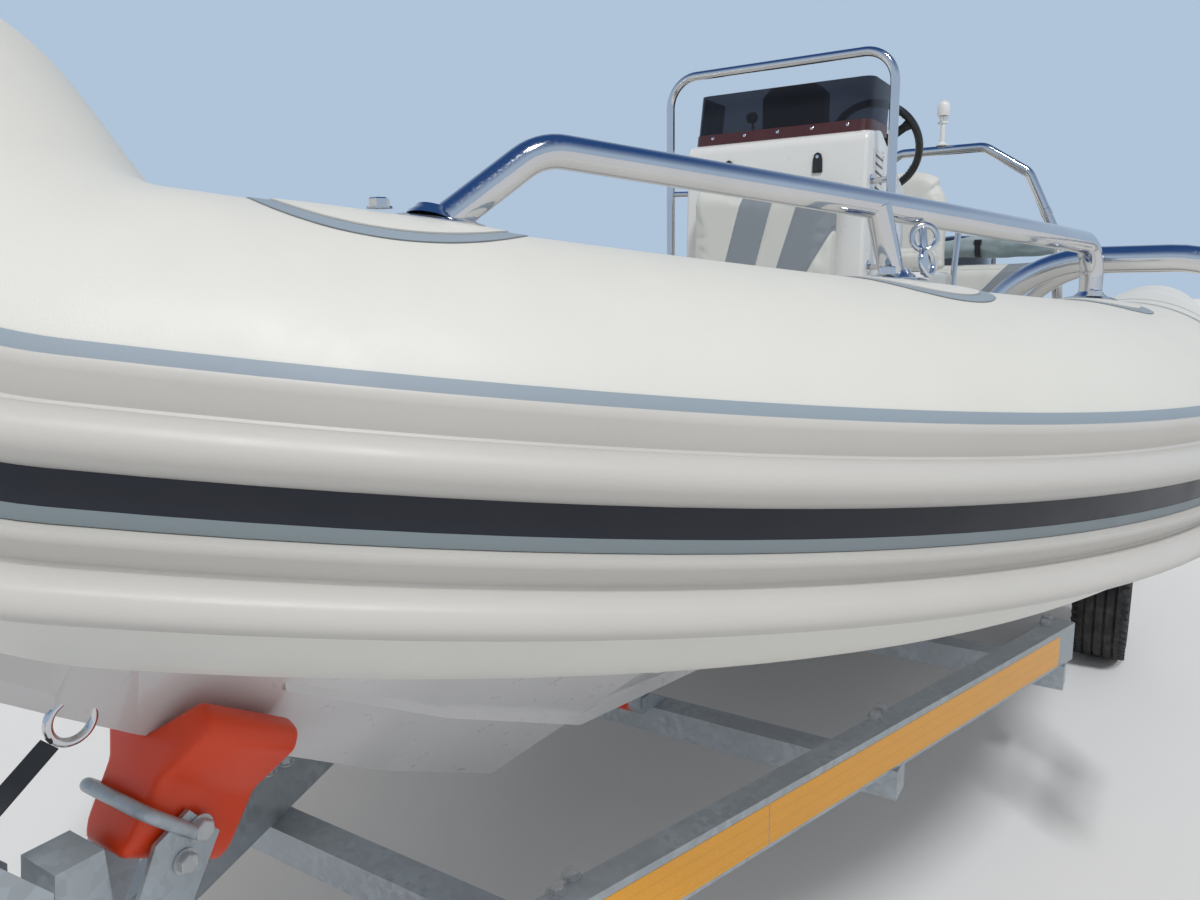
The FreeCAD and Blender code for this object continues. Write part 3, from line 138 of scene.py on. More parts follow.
def length(name, description, default):
    return FloatProperty(name=name, description=description, default=default,
                         min=0.0, unit="LENGTH", subtype="DISTANCE")


def degrees(name, description, default):
    return FloatProperty(name=name, description=description, default=math.radians(default),
                         unit="ROTATION", subtype="ANGLE")


def shade(red, green, blue):
    """A colour as the scene's linear light, from its 0 to 255 values on a screen."""
    return tuple(((c / 255 + 0.055) / 1.055) ** 2.4 if c > 10 else c / 255 / 12.92
                 for c in (red, green, blue))


def colour(name, description, red, green, blue):
    return FloatVectorProperty(name=name, description=description, subtype="COLOR", size=3,
                               min=0.0, max=1.0, default=shade(red, green, blue))


class TubeSizes(bpy.types.PropertyGroup):
    tape_top: degrees("Upper tape top", "Where the tape over the upper strake starts, round the tube", 21.6)
    strake_top: degrees("Strake top", "Upper edge of the upper strake, round the tube", 18.0)
    strake_low: degrees("Strake low", "Lower edge of the upper strake, round the tube", -2.0)
    lower_top: degrees("Lower strake top", "Upper edge of the lower strake, round the tube", -13.0)
    stripe_top: degrees("Stripe top", "Upper edge of the pale stripe under the dark band", -9.5)
    strake_proud: length("Strake proud", "How far a strake's bulge stands off the tube", 0.038)
    flange: length("Flange", "How far a strake's upper flange stands off the tube", 0.015)
    tape_thick: length("Tape", "Thickness of a glued tape", 0.0012)
    patch_long: length("Patch length", "Length of the pad under a rail's foot", 0.300)
    patch_wide: length("Patch width", "Width of the pad under a rail's foot", 0.262)
    patch_ring: length("Patch ring", "Width of the grey ring round a pad", 0.020)


class StainlessSizes(bpy.types.PropertyGroup):
    rail: length("Rail tube", "Diameter of the handrails", 0.038)
    hoop: length("Hoop tube", "Diameter of the console's hoop", 0.028)
    arch: length("Arch tube", "Diameter of the stern arch", 0.050)
    ladder: length("Ladder tube", "Diameter of the boarding ladders' rails", 0.050)


class SeatSizes(bpy.types.PropertyGroup):
    swell: length("Swell", "Most that a cushion's skin moves as it fills", 0.016)
    voxel: length("Voxel", "Cell size of a cushion's mesh before it fills", 0.009)


class TrailerSizes(bpy.types.PropertyGroup):
    tape_tall: length("Tape height", "Height of the reflective tape on a beam's side", 0.086)
    bolt: length("Bolt", "Width across a frame bolt's head", 0.024)
    tread_depth: length("Tread depth", "Depth of the tyre's grooves", 0.009)
    grooves: IntProperty(name="Grooves", description="Grooves round a tyre", default=4, min=1)


class Finishes(bpy.types.PropertyGroup):
    tube: colour("Tube fabric", "The buoyancy tubes", 222, 222, 216)
    tape: colour("Tape", "The tapes over the strakes and round the pads", 150, 164, 176)
    stripe: colour("Pale stripe", "The stripe under the dark band", 128, 140, 146)
    band: colour("Dark band", "The band between the strakes", 12, 20, 36)
    strake: colour("Strake", "The moulded strakes", 202, 200, 196)
    gelcoat: colour("Gelcoat", "The deck mouldings, console and seats", 228, 229, 228)
    hull: colour("Hull", "The hull's gelcoat", 214, 213, 214)
    vinyl: colour("Vinyl", "The cushions", 208, 210, 206)
    vinyl_stripe: colour("Vinyl stripe", "The stripes on the cushions", 134, 142, 150)
    canvas: colour("Canvas", "The rolled cover", 148, 166, 172)
    block: colour("Urethane", "The bow block and the keel rollers", 228, 66, 16)
    tape_amber: colour("Amber tape", "The reflective tape on the trailer", 250, 172, 10)


class Studio(bpy.types.PropertyGroup):
    lens: FloatProperty(name="Lens", description="Focal length on a 36 mm sensor", default=27.0,
                        unit="CAMERA")
    eye_station: length("Station", "The camera's station ahead of the bow curve's start", 2.3295)
    eye_side: length("Side", "The camera's distance to port", 1.1145)
    eye_rise: length("Rise", "The camera's rise over the tubes' axis", 0.3056)
    heading: degrees("Heading", "Turn of the view from straight aft towards starboard", 32.06)
    pitch: degrees("Pitch", "Tilt of the view below level", 10.51)
    roll: degrees("Roll", "Turn of the camera about its view", -0.89)
    sun: FloatProperty(name="Key", description="Strength of the key lamp", default=1.75)
    fill: FloatProperty(name="Fill", description="Strength of the light from all round", default=0.50)
    floor: colour("Floor", "The pale floor", 226, 227, 228)
    backdrop: colour("Backdrop", "The light behind the boat", 176, 196, 218)
    overhead: colour("Overhead", "The backdrop's deeper colour overhead", 46, 82, 138)


def settings():
    return bpy.context.scene.boat_dressing


# Finishes. Patterns read Object coordinates, which are metres in the boat's frame.


def tint(colour, factor):
    return tuple(min(1.0, c * factor) for c in colour[:3])


class Mix:
    """A finish in the making: one material, and the patterns that drive its shader."""

    def __init__(self, name, colour, roughness, **constants):
        self.material = bpy.data.materials.new(name)
        self.material.use_nodes = True
        self.tree = self.material.node_tree
        self.shader = self.tree.nodes["Principled BSDF"]
        self.colour = colour
        for socket, value in {"Base_Color": (*colour, 1), "Roughness": roughness, **constants}.items():
            self.shader.inputs[socket.replace("_", " ")].default_value = value

    def node(self, kind, links=(), **values):
        """A node's outputs, with its inputs set by name and linked from other outputs."""
        made = self.tree.nodes.new("ShaderNode" + kind)
        for key, value in values.items():
            if hasattr(made, key):
                setattr(made, key, value)
            else:
                made.inputs[key.replace("_", " ")].default_value = value
        for socket, output in dict(links).items():
            self.tree.links.new(made.inputs[socket], output)
        return made.outputs

    def place(self):
        return self.node("TexCoord")["Object"]

    def grain(self, scale, detail=4.0, stretch=None):
        """A cloudy pattern of a given scale, drawn out along an axis if asked."""
        where = self.place()
        if stretch:
            where = self.node("Mapping", {"Vector": where}, Scale=stretch)[0]
        return self.node("TexNoise", {"Vector": where}, Scale=scale, Detail=detail)["Fac"]

    def cells(self, scale, output=0, **values):
        return self.node("TexVoronoi", {"Vector": self.place()}, Scale=scale, **values)[output]

    def waves(self, scale, direction):
        return self.node("TexWave", {"Vector": self.place()}, bands_direction=direction, Scale=scale)["Fac"]

    def maths(self, operation, *terms):
        """One step of arithmetic on outputs or numbers."""
        made = self.node("Math", operation=operation)[0]
        for socket, term in zip(made.node.inputs, terms):
            if isinstance(term, bpy.types.NodeSocket):
                self.tree.links.new(socket, term)
            else:
                socket.default_value = term
        return made

    def span(self, value, low, high, to_low, to_high):
        return self.node("MapRange", {"Value": value}, From_Min=low, From_Max=high,
                         To_Min=to_low, To_Max=to_high)[0]

    def patches(self, scale, low, high, most):
        """Patches of a pattern, from none where it is low to the most where it is high."""
        return self.span(self.grain(scale), low, high, 0, most)

    def worn(self, scale, low, high):
        """A roughness that drifts between two values."""
        return self.span(self.grain(scale), 0.3, 0.7, low, high)

    def blend(self, factor, first, second):
        """Two colours, or outputs, mixed by a factor."""
        mixed = self.node("Mix", {"Factor": factor}, data_type="RGBA")[2]
        for socket, value in ((6, first), (7, second)):
            if isinstance(value, bpy.types.NodeSocket):
                self.tree.links.new(mixed.node.inputs[socket], value)
            else:
                mixed.node.inputs[socket].default_value = (*value[:3], 1)
        return mixed

    def cloudy(self, amount, scale):
        """Slow drifts of light and dark in the colour, as dust and age leave."""
        return self.blend(self.patches(scale, 0.35, 0.65, 1), tint(self.colour, 1 - amount),
                          tint(self.colour, 1 + amount * 0.5))

    def relief(self, height, depth, strength, over=None):
        links = {"Height": height} if over is None else {"Height": height, "Normal": over}
        return self.node("Bump", links, Distance=depth, Strength=strength)["Normal"]

    def done(self, colour, roughness=None, normal=None):
        """The material, with what drives its colour, its roughness and its relief."""
        for socket, output in (("Base Color", colour), ("Roughness", roughness), ("Normal", normal)):
            if output is not None:
                self.tree.links.new(self.shader.inputs[socket], output)
        return self.material


def coated_fabric(name, colour, roughness=0.46, weave=900.0, drift=0.035):
    """Rubber-coated cloth: a fine even texture, faint drifts of colour and a soft shine."""
    mix = Mix(name, colour, roughness)
    pucker = mix.relief(mix.grain(5), 0.003, 0.35)
    return mix.done(mix.cloudy(drift, 1.6), mix.worn(14, roughness - 0.06, roughness + 0.08),
                    mix.relief(mix.cells(weave), 0.0004, 0.22, pucker))


def polished_gelcoat(name, colour, ripple=0.0018):
    """Glossy moulded glass fibre under a clear coat."""
    mix = Mix(name, colour, 0.32, Coat_Weight=0.85, Coat_Roughness=0.08)
    surface = mix.relief(mix.grain(3.0, 0), ripple, 0.15)
    return mix.done(mix.cloudy(0.03, 1.1), mix.worn(30, 0.26, 0.40), surface)


def non_slip(name, colour):
    """Gelcoat moulded with small raised points that keep feet from sliding."""
    mix = Mix(name, colour, 0.55)
    studs = mix.cells(130.0, Randomness=0.15)
    return mix.done(mix.cloudy(0.07, 3.0), mix.span(studs, 0, 0.8, 0.42, 0.7), mix.relief(studs, 0.002, 0.6))


def polished_steel(name, colour, roughness=0.09):
    """Polished stainless tube, with the faint drag of the polishing wheel."""
    mix = Mix(name, colour, roughness, Metallic=1.0)
    drag = mix.grain(60, 3, (1, 6, 6))
    return mix.done(mix.cloudy(0.05, 6.0), mix.span(drag, 0.3, 0.7, roughness * 0.6, roughness * 1.9),
                    mix.relief(drag, 0.0002, 0.12))


def galvanised(name, colour):
    """Hot-dipped zinc: overlapping crystals of light and dark grey, dulled by weather."""
    mix = Mix(name, colour, 0.42, Metallic=0.55)
    flake = mix.node("SeparateColor", {"Color": mix.cells(70.0, "Color")})[0]
    spangle = mix.blend(flake, tint(colour, 0.84), tint(colour, 1.16))
    return mix.done(mix.blend(mix.patches(7, 0.35, 0.65, 0.6), spangle, tint(colour, 0.9)),
                    mix.span(flake, 0, 1, 0.34, 0.56), mix.relief(mix.grain(45), 0.0008, 0.3))


def painted(name, colour, roughness=0.4, coat=0.0):
    """Paint or moulded plastic with fine orange peel and a little dust."""
    mix = Mix(name, colour, roughness, Coat_Weight=coat)
    return mix.done(mix.cloudy(0.10, 8.0), mix.worn(25, roughness * 0.8, roughness * 1.25),
                    mix.relief(mix.grain(260, 2), 0.0006, 0.25))


def tyre_rubber(name, colour):
    mix = Mix(name, colour, 0.75)
    return mix.done(mix.blend(mix.patches(18, 0.45, 0.75, 0.45), colour, shade(92, 88, 82)),
                    mix.worn(40, 0.62, 0.9), mix.relief(mix.grain(300, 3), 0.0008, 0.4))


def cast_urethane(name, colour):
    """Cast orange-red urethane: waxy, lightly scuffed, and letting a little light through."""
    mix = Mix(name, colour, 0.30, Subsurface_Weight=0.12, Subsurface_Scale=0.01)
    return mix.done(mix.blend(mix.patches(9, 0.45, 0.75, 0.25), colour, tint(colour, 0.8)),
                    mix.worn(14, 0.28, 0.45), mix.relief(mix.grain(180, 2), 0.0006, 0.15))


def vinyl(name, colour, paint=None, stripes=(), foot=0.0):
    """Marine vinyl with a fine leather grain, and slanted stripes where it has them.

    Each stripe is its side distance at the foot, its half width and its lean."""
    mix = Mix(name, colour, 0.45, Sheen_Weight=0.05)
    ground = mix.cloudy(0.04, 6.0)
    for middle, half, lean in stripes:
        split = mix.node("SeparateXYZ", {"Vector": mix.place()})
        line = mix.maths("MULTIPLY_ADD", mix.maths("SUBTRACT", split["Z"], foot), lean, middle)
        away = mix.maths("ABSOLUTE", mix.maths("SUBTRACT", split["Y"], line))
        ground = mix.blend(mix.span(away, half - 0.0008, half + 0.0008, 1, 0), ground, paint)
    cells = mix.cells(520.0)
    wrinkle = mix.relief(mix.grain(16), 0.003, 0.3)
    return mix.done(ground, mix.span(cells, 0, 0.7, 0.36, 0.56), mix.relief(cells, 0.0007, 0.35, wrinkle))


def woven_canvas(name, colour):
    mix = Mix(name, colour, 0.8, Sheen_Weight=0.2)
    weave = mix.maths("MULTIPLY", mix.waves(300.0, "X"), mix.waves(300.0, "Y"))
    return mix.done(mix.cloudy(0.16, 12.0), mix.span(weave, 0, 1, 0.72, 0.9), mix.relief(weave, 0.0008, 0.5))


def smoked_acrylic(name, colour):
    """Dark clear sheet: glossy, and letting a dim view through."""
    mix = Mix(name, colour, 0.05, Transmission_Weight=0.8, IOR=1.2)
    return mix.done(mix.cloudy(0.15, 3.0), mix.span(mix.grain(5), 0.35, 0.65, 0.03, 0.10))


def ribbed(name, colour, roughness, scale, dark, strength, **constants):
    """Fine ribs across the boat, as on a lamp's lens or on webbing, with painted shade in the troughs between
    them.
    """
    mix = Mix(name, colour, roughness, **constants)
    ribs = mix.waves(scale, "Y")
    # Painted shade: the colour darkens in the ribs' troughs, where the bump dips.
    return mix.done(mix.blend(ribs, tint(colour, dark), colour), normal=mix.relief(ribs, 0.001, strength))


def clear_lens(name, colour):
    return ribbed(name, colour, 0.12, 60.0, 0.75, 0.4, Coat_Weight=0.6, Transmission_Weight=0.25)


def reflective_tape(name, colour):
    """Retroreflective sheet: small cells with a bright shimmer, a little soiled, and with painted shade along
    its embossed rib lines.
    """
    mix = Mix(name, colour, 0.28, Coat_Weight=0.4)
    cells = mix.cells(260.0)
    bright = mix.blend(cells, tint(colour, 0.94), tint(colour, 1.08))
    soiled = mix.blend(mix.patches(9, 0.5, 0.8, 0.3), bright, tint(colour, 0.8))
    # Painted shade: thin dark lines along the tape stand for the shade in its embossed ribs.
    rib_line_shade = mix.span(mix.waves(12.0, "Z"), 0.0, 0.10, 0.2, 0.0)
    return mix.done(mix.blend(rib_line_shade, soiled, tint(colour, 0.6)), normal=mix.relief(cells, 0.0005, 0.3))


def bunk_carpet(name, colour):
    mix = Mix(name, colour, 0.95, Sheen_Weight=0.3)
    return mix.done(mix.cloudy(0.3, 120.0), normal=mix.relief(mix.grain(420, 5), 0.004, 0.9))


def mix_finishes():
    """Every finish that the boat and its trailer use, by its plain name."""
    hue = settings().finishes
    slanted = ((-0.100, 0.054, 0.24), (0.052, 0.036, 0.30), (0.050, 0.038, 0.41), (0.052, 0.032, 0.54))
    return {
        "tube": coated_fabric("tube_fabric", hue.tube),
        "tape": coated_fabric("strake_tape", hue.tape, 0.5),
        "stripe": coated_fabric("pale_stripe", hue.stripe, 0.5),
        "band": coated_fabric("dark_band", hue.band, 0.34, 900.0, 0.15),
        "strake": coated_fabric("moulded_strake", hue.strake, 0.40, 1400.0, 0.05),
        "gelcoat": polished_gelcoat("white_gelcoat", hue.gelcoat),
        "hull": polished_gelcoat("hull_gelcoat", hue.hull, 0.003),
        "non_slip": non_slip("non_slip_deck", tint(hue.gelcoat, 0.78)),
        "steel": polished_steel("polished_stainless", shade(214, 214, 216)),
        "zinc": galvanised("galvanised_steel", shade(178, 186, 192)),
        "bright_zinc": galvanised("plated_fastener", shade(196, 198, 200)),
        "black": painted("black_plastic", shade(26, 27, 30), 0.42),
        "satin_black": painted("satin_black", shade(16, 17, 19), 0.3, 0.4),
        "white": painted("white_plastic", shade(226, 227, 228), 0.35, 0.3),
        "grey": painted("grey_plastic", shade(120, 124, 128), 0.45),
        "motor": painted("motor_enamel", shade(34, 38, 46), 0.24, 0.8),
        "prop": polished_steel("propeller_alloy", shade(150, 152, 156), 0.25),
        "spring": painted("spring_steel", shade(40, 42, 46), 0.5),
        "alloy": painted("cast_alloy", shade(70, 74, 80), 0.34, 0.3),
        "vinyl": vinyl("cushion_vinyl", hue.vinyl),
        "front_back_vinyl": vinyl("front_back_vinyl", hue.vinyl, hue.vinyl_stripe, slanted, AXIS_Z + 0.18),
        "bench_vinyl": vinyl("bench_vinyl", hue.vinyl, hue.vinyl_stripe,
                             ((-0.30, 0.10, 0.0), (0.30, 0.10, 0.0))),
        "bench_back_vinyl": vinyl("bench_back_vinyl", hue.vinyl, hue.vinyl_stripe,
                                  ((-0.34, 0.12, 0.9), (0.26, 0.12, 0.9)), AXIS_Z + 0.05),
        "canvas": woven_canvas("cover_canvas", hue.canvas),
        "acrylic": smoked_acrylic("smoked_acrylic", shade(74, 77, 86)),
        "foot_strip": painted("screen_foot_strip", shade(74, 30, 28), 0.35, 0.3),
        "urethane": cast_urethane("cast_urethane", hue.block),
        "amber": reflective_tape("amber_tape", hue.tape_amber),
        "tyre": tyre_rubber("tyre_rubber", shade(30, 30, 31)),
        "wheel": painted("wheel_enamel", shade(206, 208, 210), 0.35, 0.3),
        "carpet": bunk_carpet("bunk_carpet", shade(52, 56, 62)),
        "webbing": ribbed("winch_webbing", shade(54, 56, 60), 0.7, 160.0, 0.7, 0.6),
        "red_lens": clear_lens("red_lens", shade(190, 16, 18)),
        "amber_lens": clear_lens("amber_lens", shade(236, 130, 16)),
        "white_lens": clear_lens("white_lens", shade(236, 238, 238)),
        "screen_face": painted("screen_glass", shade(12, 14, 18), 0.08, 0.9),
    }


FINISH = {}


# Shapes that more than one piece is made from.


def verts_of(made):
    return [part for part in made if isinstance(part, bmesh.types.BMVert)]


def edges_of(made):
    return [part for part in made if isinstance(part, bmesh.types.BMEdge)]


def spun(bm, edges, centre, axis, steps, angle=2 * math.pi):
    """The edges turned about an axis: a whole turn is closed, less leaves its last edges open."""
    corners = list({vert for edge in edges for vert in edge.verts})
    return bmesh.ops.spin(bm, geom=corners + edges, cent=centre, axis=axis, angle=angle, steps=steps,
                          use_merge=angle == 2 * math.pi)["geom_last"]


def chain(bm, points, closed=False):
    """Edges through a few points, in order."""
    verts = [bm.verts.new(p) for p in points]
    pairs = list(zip(verts, verts[1:]))
    if closed:
        pairs.append((verts[-1], verts[0]))
    return [bm.edges.new(pair) for pair in pairs]


def ring(bm, centre, facing, radius, sides=24):
    """A circle of edges round a place, facing along a direction."""
    turn = Vector(facing).to_track_quat("Z", "Y").to_matrix().to_4x4()
    made = bmesh.ops.create_circle(bm, cap_ends=False, segments=sides, radius=radius,
                                   matrix=Matrix.Translation(centre) @ turn)
    return list({edge for vert in made["verts"] for edge in vert.link_edges})


def push(bm, edges, by, scale=None, about=None):
    """The edges drawn out by a vector, and scaled about a place if asked."""
    made = bmesh.ops.extrude_edge_only(bm, edges=edges)["geom"]
    verts = verts_of(made)
    bmesh.ops.translate(bm, verts=verts, vec=by)
    if scale is not None:
        bmesh.ops.scale(bm, verts=verts, vec=(scale, scale, scale),
                        space=Matrix.Translation(-Vector(about)))
    fresh = set(verts)
    return [edge for edge in edges_of(made) if set(edge.verts) <= fresh]


def swing(bm, edges, centre, axis, angle, steps):
    """The edges turned about an axis, leaving a surface behind them."""
    return edges_of(spun(bm, edges, centre, axis, steps, angle))


def cap(bm, edges):
    bmesh.ops.contextual_create(bm, geom=edges)


def close_up(bm):
    bmesh.ops.remove_doubles(bm, verts=bm.verts, dist=1e-5)
    bmesh.ops.recalc_face_normals(bm, faces=bm.faces)


def bent_tube(bm, points, radius, bends, sides=20):
    """A round tube along straight runs, with an arc of a given radius at each corner."""
    points = [Vector(p) for p in points]
    edges = ring(bm, points[0], points[1] - points[0], radius, sides)
    cap(bm, edges)
    last = points[0]
    for before, corner, after, bend in zip(points, points[1:], points[2:], bends):
        inward, outward = (before - corner).normalized(), (after - corner).normalized()
        half = inward.angle(outward) / 2
        start = corner + inward * bend / math.tan(half)
        middle = corner + (inward + outward).normalized() * bend / math.sin(half)
        edges = push(bm, edges, start - last)
        turn = math.pi - 2 * half
        steps = max(4, round(turn / math.radians(6)))
        edges = swing(bm, edges, middle, inward.cross(outward), -turn, steps)
        last = corner + outward * bend / math.tan(half)
    edges = push(bm, edges, points[-1] - last)
    cap(bm, edges)


def rounded(bm, edges, soften, segments=2, clamp=True):
    if soften:
        bmesh.ops.bevel(bm, geom=edges, offset=soften, segments=segments, profile=0.5, affect="EDGES",
                        clamp_overlap=clamp, material=-1)


def rod(bm, start, end, radius, sides=20, soften=0.0):
    """A straight round bar, with its end edges softened if asked."""
    start, end = Vector(start), Vector(end)
    first = ring(bm, start, end - start, radius, sides)
    cap(bm, first)
    last = push(bm, first, end - start)
    cap(bm, last)
    rounded(bm, first + last, soften, clamp=False)


def turned(bm, outline, centre, axis, sides=32):
    """A turned shape: an outline of (distance along the axis, radius), spun once round it."""
    axis = Vector(axis).normalized()
    spoke = axis.orthogonal().normalized()
    edges = chain(bm, [Vector(centre) + axis * along + spoke * radius for along, radius in outline])
    spun(bm, edges, centre, axis, sides)


def stud(bm, outline, centre, axis, sides=32):
    """A turned shape that is solid to its axis at both ends."""
    turned(bm, [(outline[0][0], 0.0), *outline, (outline[-1][0], 0.0)], centre, axis, sides)


def lofted(bm, rings):
    """A skin through closed rings of points, capped at both ends."""
    loops = [chain(bm, points, closed=True) for points in rings]
    for near, far in zip(loops, loops[1:]):
        bmesh.ops.bridge_loops(bm, edges=near + far)
    cap(bm, loops[0])
    cap(bm, loops[-1])


def block(bm, low, high, soften=0.0, segments=2):
    """A box between two corners, its edges rounded if asked."""
    low, high = Vector(low), Vector(high)
    size = high - low
    made = bmesh.ops.create_cube(bm, size=1, matrix=Matrix.Translation((low + high) / 2)
                                 @ Matrix.Diagonal((*size, 1)))
    rounded(bm, list({edge for vert in made["verts"] for edge in vert.link_edges}), soften, segments)
    return made["verts"]


def slab(bm, outline, depth, soften=0.0, segments=2):
    """A solid from a closed outline of points, carried along a depth, with rounded edges if asked."""
    edges = chain(bm, outline, closed=True)
    cap(bm, edges)
    face = edges[0].link_faces[0]
    made = bmesh.ops.extrude_face_region(bm, geom=[face], use_keep_orig=True)["geom"]
    bmesh.ops.translate(bm, verts=verts_of(made), vec=Vector(depth))
    corners = set(verts_of(made)) | {vert for edge in edges for vert in edge.verts}
    rims = {edge for vert in corners for edge in vert.link_edges if set(edge.verts) <= corners}
    rounded(bm, list(rims), soften, segments)


def hex_bolt(bm, place, facing, across, tall=None):
    """A bolt's six-sided head with its washer."""
    facing = Vector(facing).normalized()
    tall = tall or across * 0.45
    washer = ring(bm, place, facing, across * 0.72, 20)
    cap(bm, push(bm, washer, facing * across * 0.09))
    head = ring(bm, Vector(place) + facing * across * 0.09, facing, across * 0.577, 6)
    shoulder = push(bm, head, facing * tall * 0.85)
    top = push(bm, shoulder, facing * tall * 0.15, 0.86,
               Vector(place) + facing * (across * 0.09 + tall))
    cap(bm, top)


def mirror_over(bm):
    """The same shape again on the other side."""
    bmesh.ops.mirror(bm, geom=bm.verts[:] + bm.edges[:] + bm.faces[:], axis="Y",
                     matrix=Matrix.Identity(4), merge_dist=1e-6)


def new_piece(bm, name):
    """An object from a mesh in the making."""
    mesh = bpy.data.meshes.new(name)
    bm.to_mesh(mesh)
    bm.free()
    piece = bpy.data.objects.new(name, mesh)
    bpy.context.scene.collection.objects.link(piece)
    return piece


def smoothed(mesh):
    mesh.polygons.foreach_set("use_smooth", [True] * len(mesh.polygons))


def settle(bm, name, *materials, body=BOAT, replaces=(), slot=None, crease=38, subdivide=0):
    """The finished piece: its mesh, its finish and what carries it. Its slot argument is not used."""
    close_up(bm)
    piece = new_piece(bm, name)
    mesh = piece.data
    smoothed(mesh)
    mesh.set_sharp_from_angle(angle=math.radians(crease))
    for material in materials:
        mesh.materials.append(FINISH[material])
    if subdivide:
        smooth = piece.modifiers.new("smooth", "SUBSURF")
        smooth.levels = smooth.render_levels = subdivide
    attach(piece, body)
    if replaces:
        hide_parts(*replaces)
    return piece


def wear(name, *nodes):
    """A finish given to CAD nodes that stay as they are."""
    for node_name in nodes:
        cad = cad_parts[node_name]
        cad.data.materials.clear()
        cad.data.materials.append(FINISH[name])


# Buoyancy tubes, strakes, tapes and the pads under the rails' feet.


def sweep_port(bm, edges):
    """A section at the transom, carried along the port tube's path to the centreline."""
    edges = push(bm, edges, vec(-TRANSOM_AT, 0, 0))
    edges = swing(bm, edges, WIDE_CENTRE, UPRIGHT, -WIDE_TURN, 30)
    edges = swing(bm, edges, TIGHT_CENTRE, NOSE_AXIS, TIGHT_TURN, 20)
    nose_ahead = BEND_AHEAD * math.cos(TIGHT_TURN) + NOSE_INWARD * math.sin(TIGHT_TURN)
    push(bm, edges, nose_ahead * (TUBE_RADIUS + 0.06))
    whole = bm.verts[:] + bm.edges[:] + bm.faces[:]
    bmesh.ops.bisect_plane(bm, geom=whole, dist=1e-6, plane_co=(0, 0, 0), plane_no=(0, 1, 0),
                           clear_inner=True)


def section(bm, points, closed=True):
    """A section at the transom, from (angle, reach) pairs round the tube."""
    return chain(bm, [on_tube(TRANSOM_AT, angle, reach) for angle, reach in points], closed)


class TubeSkins(bpy.types.Operator):
    """The two buoyancy tubes with their tapering stern cones"""
    bl_idname = "boat.tube_skins"
    bl_label = "Buoyancy tubes"

    def execute(self, context):
        cone_end = TUBE_LOW.x + 0.002
        for side, name in ((1, "port"), (-1, "starboard")):
            bm = bmesh.new()
            centre, _ = path_place(TRANSOM_AT)
            edges = ring(bm, centre, (1, 0, 0), TUBE_RADIUS, 96)
            rim = list(edges)
            sweep_port(bm, edges)
            long = centre.x - cone_end
            last, radius = rim, TUBE_RADIUS
            for share, end_radius in ((0.06, 0.2475), (0.80, 0.128), (0.92, 0.112), (0.975, 0.088),
                                      (1.0, 0.055)):
                here = centre - vec(long * share, 0, 0)
                before = sum((v.co for e in last for v in e.verts), Vector()) / (2 * len(last))
                last = push(bm, last, here - before, end_radius / radius, here)
                radius = end_radius
            cap(bm, last)
            if side < 0:
                bmesh.ops.scale(bm, verts=bm.verts, vec=(1, -1, 1))
            settle(bm, f"tube_skin_{name}", "tube", replaces=(f"tube_{name}",), crease=30)
        return {"FINISHED"}


def strake_points(top, low, proud, flange):
    """A moulded strake's section: a narrow flange, a cove that faces down, a ledge and a fat round bulge."""
    spread = top - low
    ledge = top - 0.44 * spread
    points = [(low, SKIN), (top, SKIN), (top, SKIN + flange * 0.55),
              (top - 0.02 * spread, SKIN + flange * 0.95), (top - 0.09 * spread, SKIN + flange),
              (top - 0.14 * spread, SKIN + flange * 0.82), (top - 0.40 * spread, SKIN + 0.0015),
              (ledge, SKIN + 0.003), (ledge, SKIN + 0.36 * proud)]
    steps = 16
    for step in range(1, steps + 1):
        share = step / steps
        swell = math.sin(math.pi * (0.14 + 0.84 * share)) ** 0.62
        points.append((ledge + (low - ledge) * share, SKIN + proud * swell))
    return points


class Strakes(bpy.types.Operator):
    """The two moulded strakes along each side and round the bow"""
    bl_idname = "boat.strakes"
    bl_label = "Moulded strakes"

    def execute(self, context):
        size = settings().tube
        tall = size.strake_top - size.strake_low
        for name, top in (("upper", size.strake_top), ("lower", size.lower_top)):
            bm = bmesh.new()
            edges = section(bm, strake_points(top, top - tall, size.strake_proud, size.flange))
            cap(bm, edges)
            sweep_port(bm, edges)
            mirror_over(bm)
            settle(bm, f"moulded_strake_{name}", "strake", replaces=(f"strake_{name}",), crease=42)
        return {"FINISHED"}


def band_points(top, low, thick, steps=4):
    angles = [low + (top - low) * step / steps for step in range(steps + 1)]
    return [(a, SKIN) for a in angles] + [(a, SKIN + thick) for a in reversed(angles)]


class Tapes(bpy.types.Operator):
    """The dark band, the stripe under it and the tapes that seal the strakes' edges"""
    bl_idname = "boat.tapes"
    bl_label = "Band and tapes"

    def execute(self, context):
        size = settings().tube
        tall = size.strake_top - size.strake_low
        slack = math.radians(0.3)
        rows = (
            ("dark_band", "band", size.strake_low - slack, size.stripe_top, 0.0018, ("side_band",)),
            ("pale_stripe", "stripe", size.stripe_top, size.lower_top + slack, 0.0024, ()),
            ("strake_top_tape", "tape", size.tape_top, size.strake_top, size.tape_thick, ()),
            ("strake_foot_tape", "tube", size.lower_top - tall, size.lower_top - tall - math.radians(3.5),
             size.tape_thick, ()),
        )
        for name, finish, top, low, thick, replaced in rows:
            bm = bmesh.new()
            sweep_port(bm, section(bm, band_points(top, low, thick)))
            mirror_over(bm)
            settle(bm, name, finish, replaces=replaced, slot="band_fabric", crease=50)
        return {"FINISHED"}


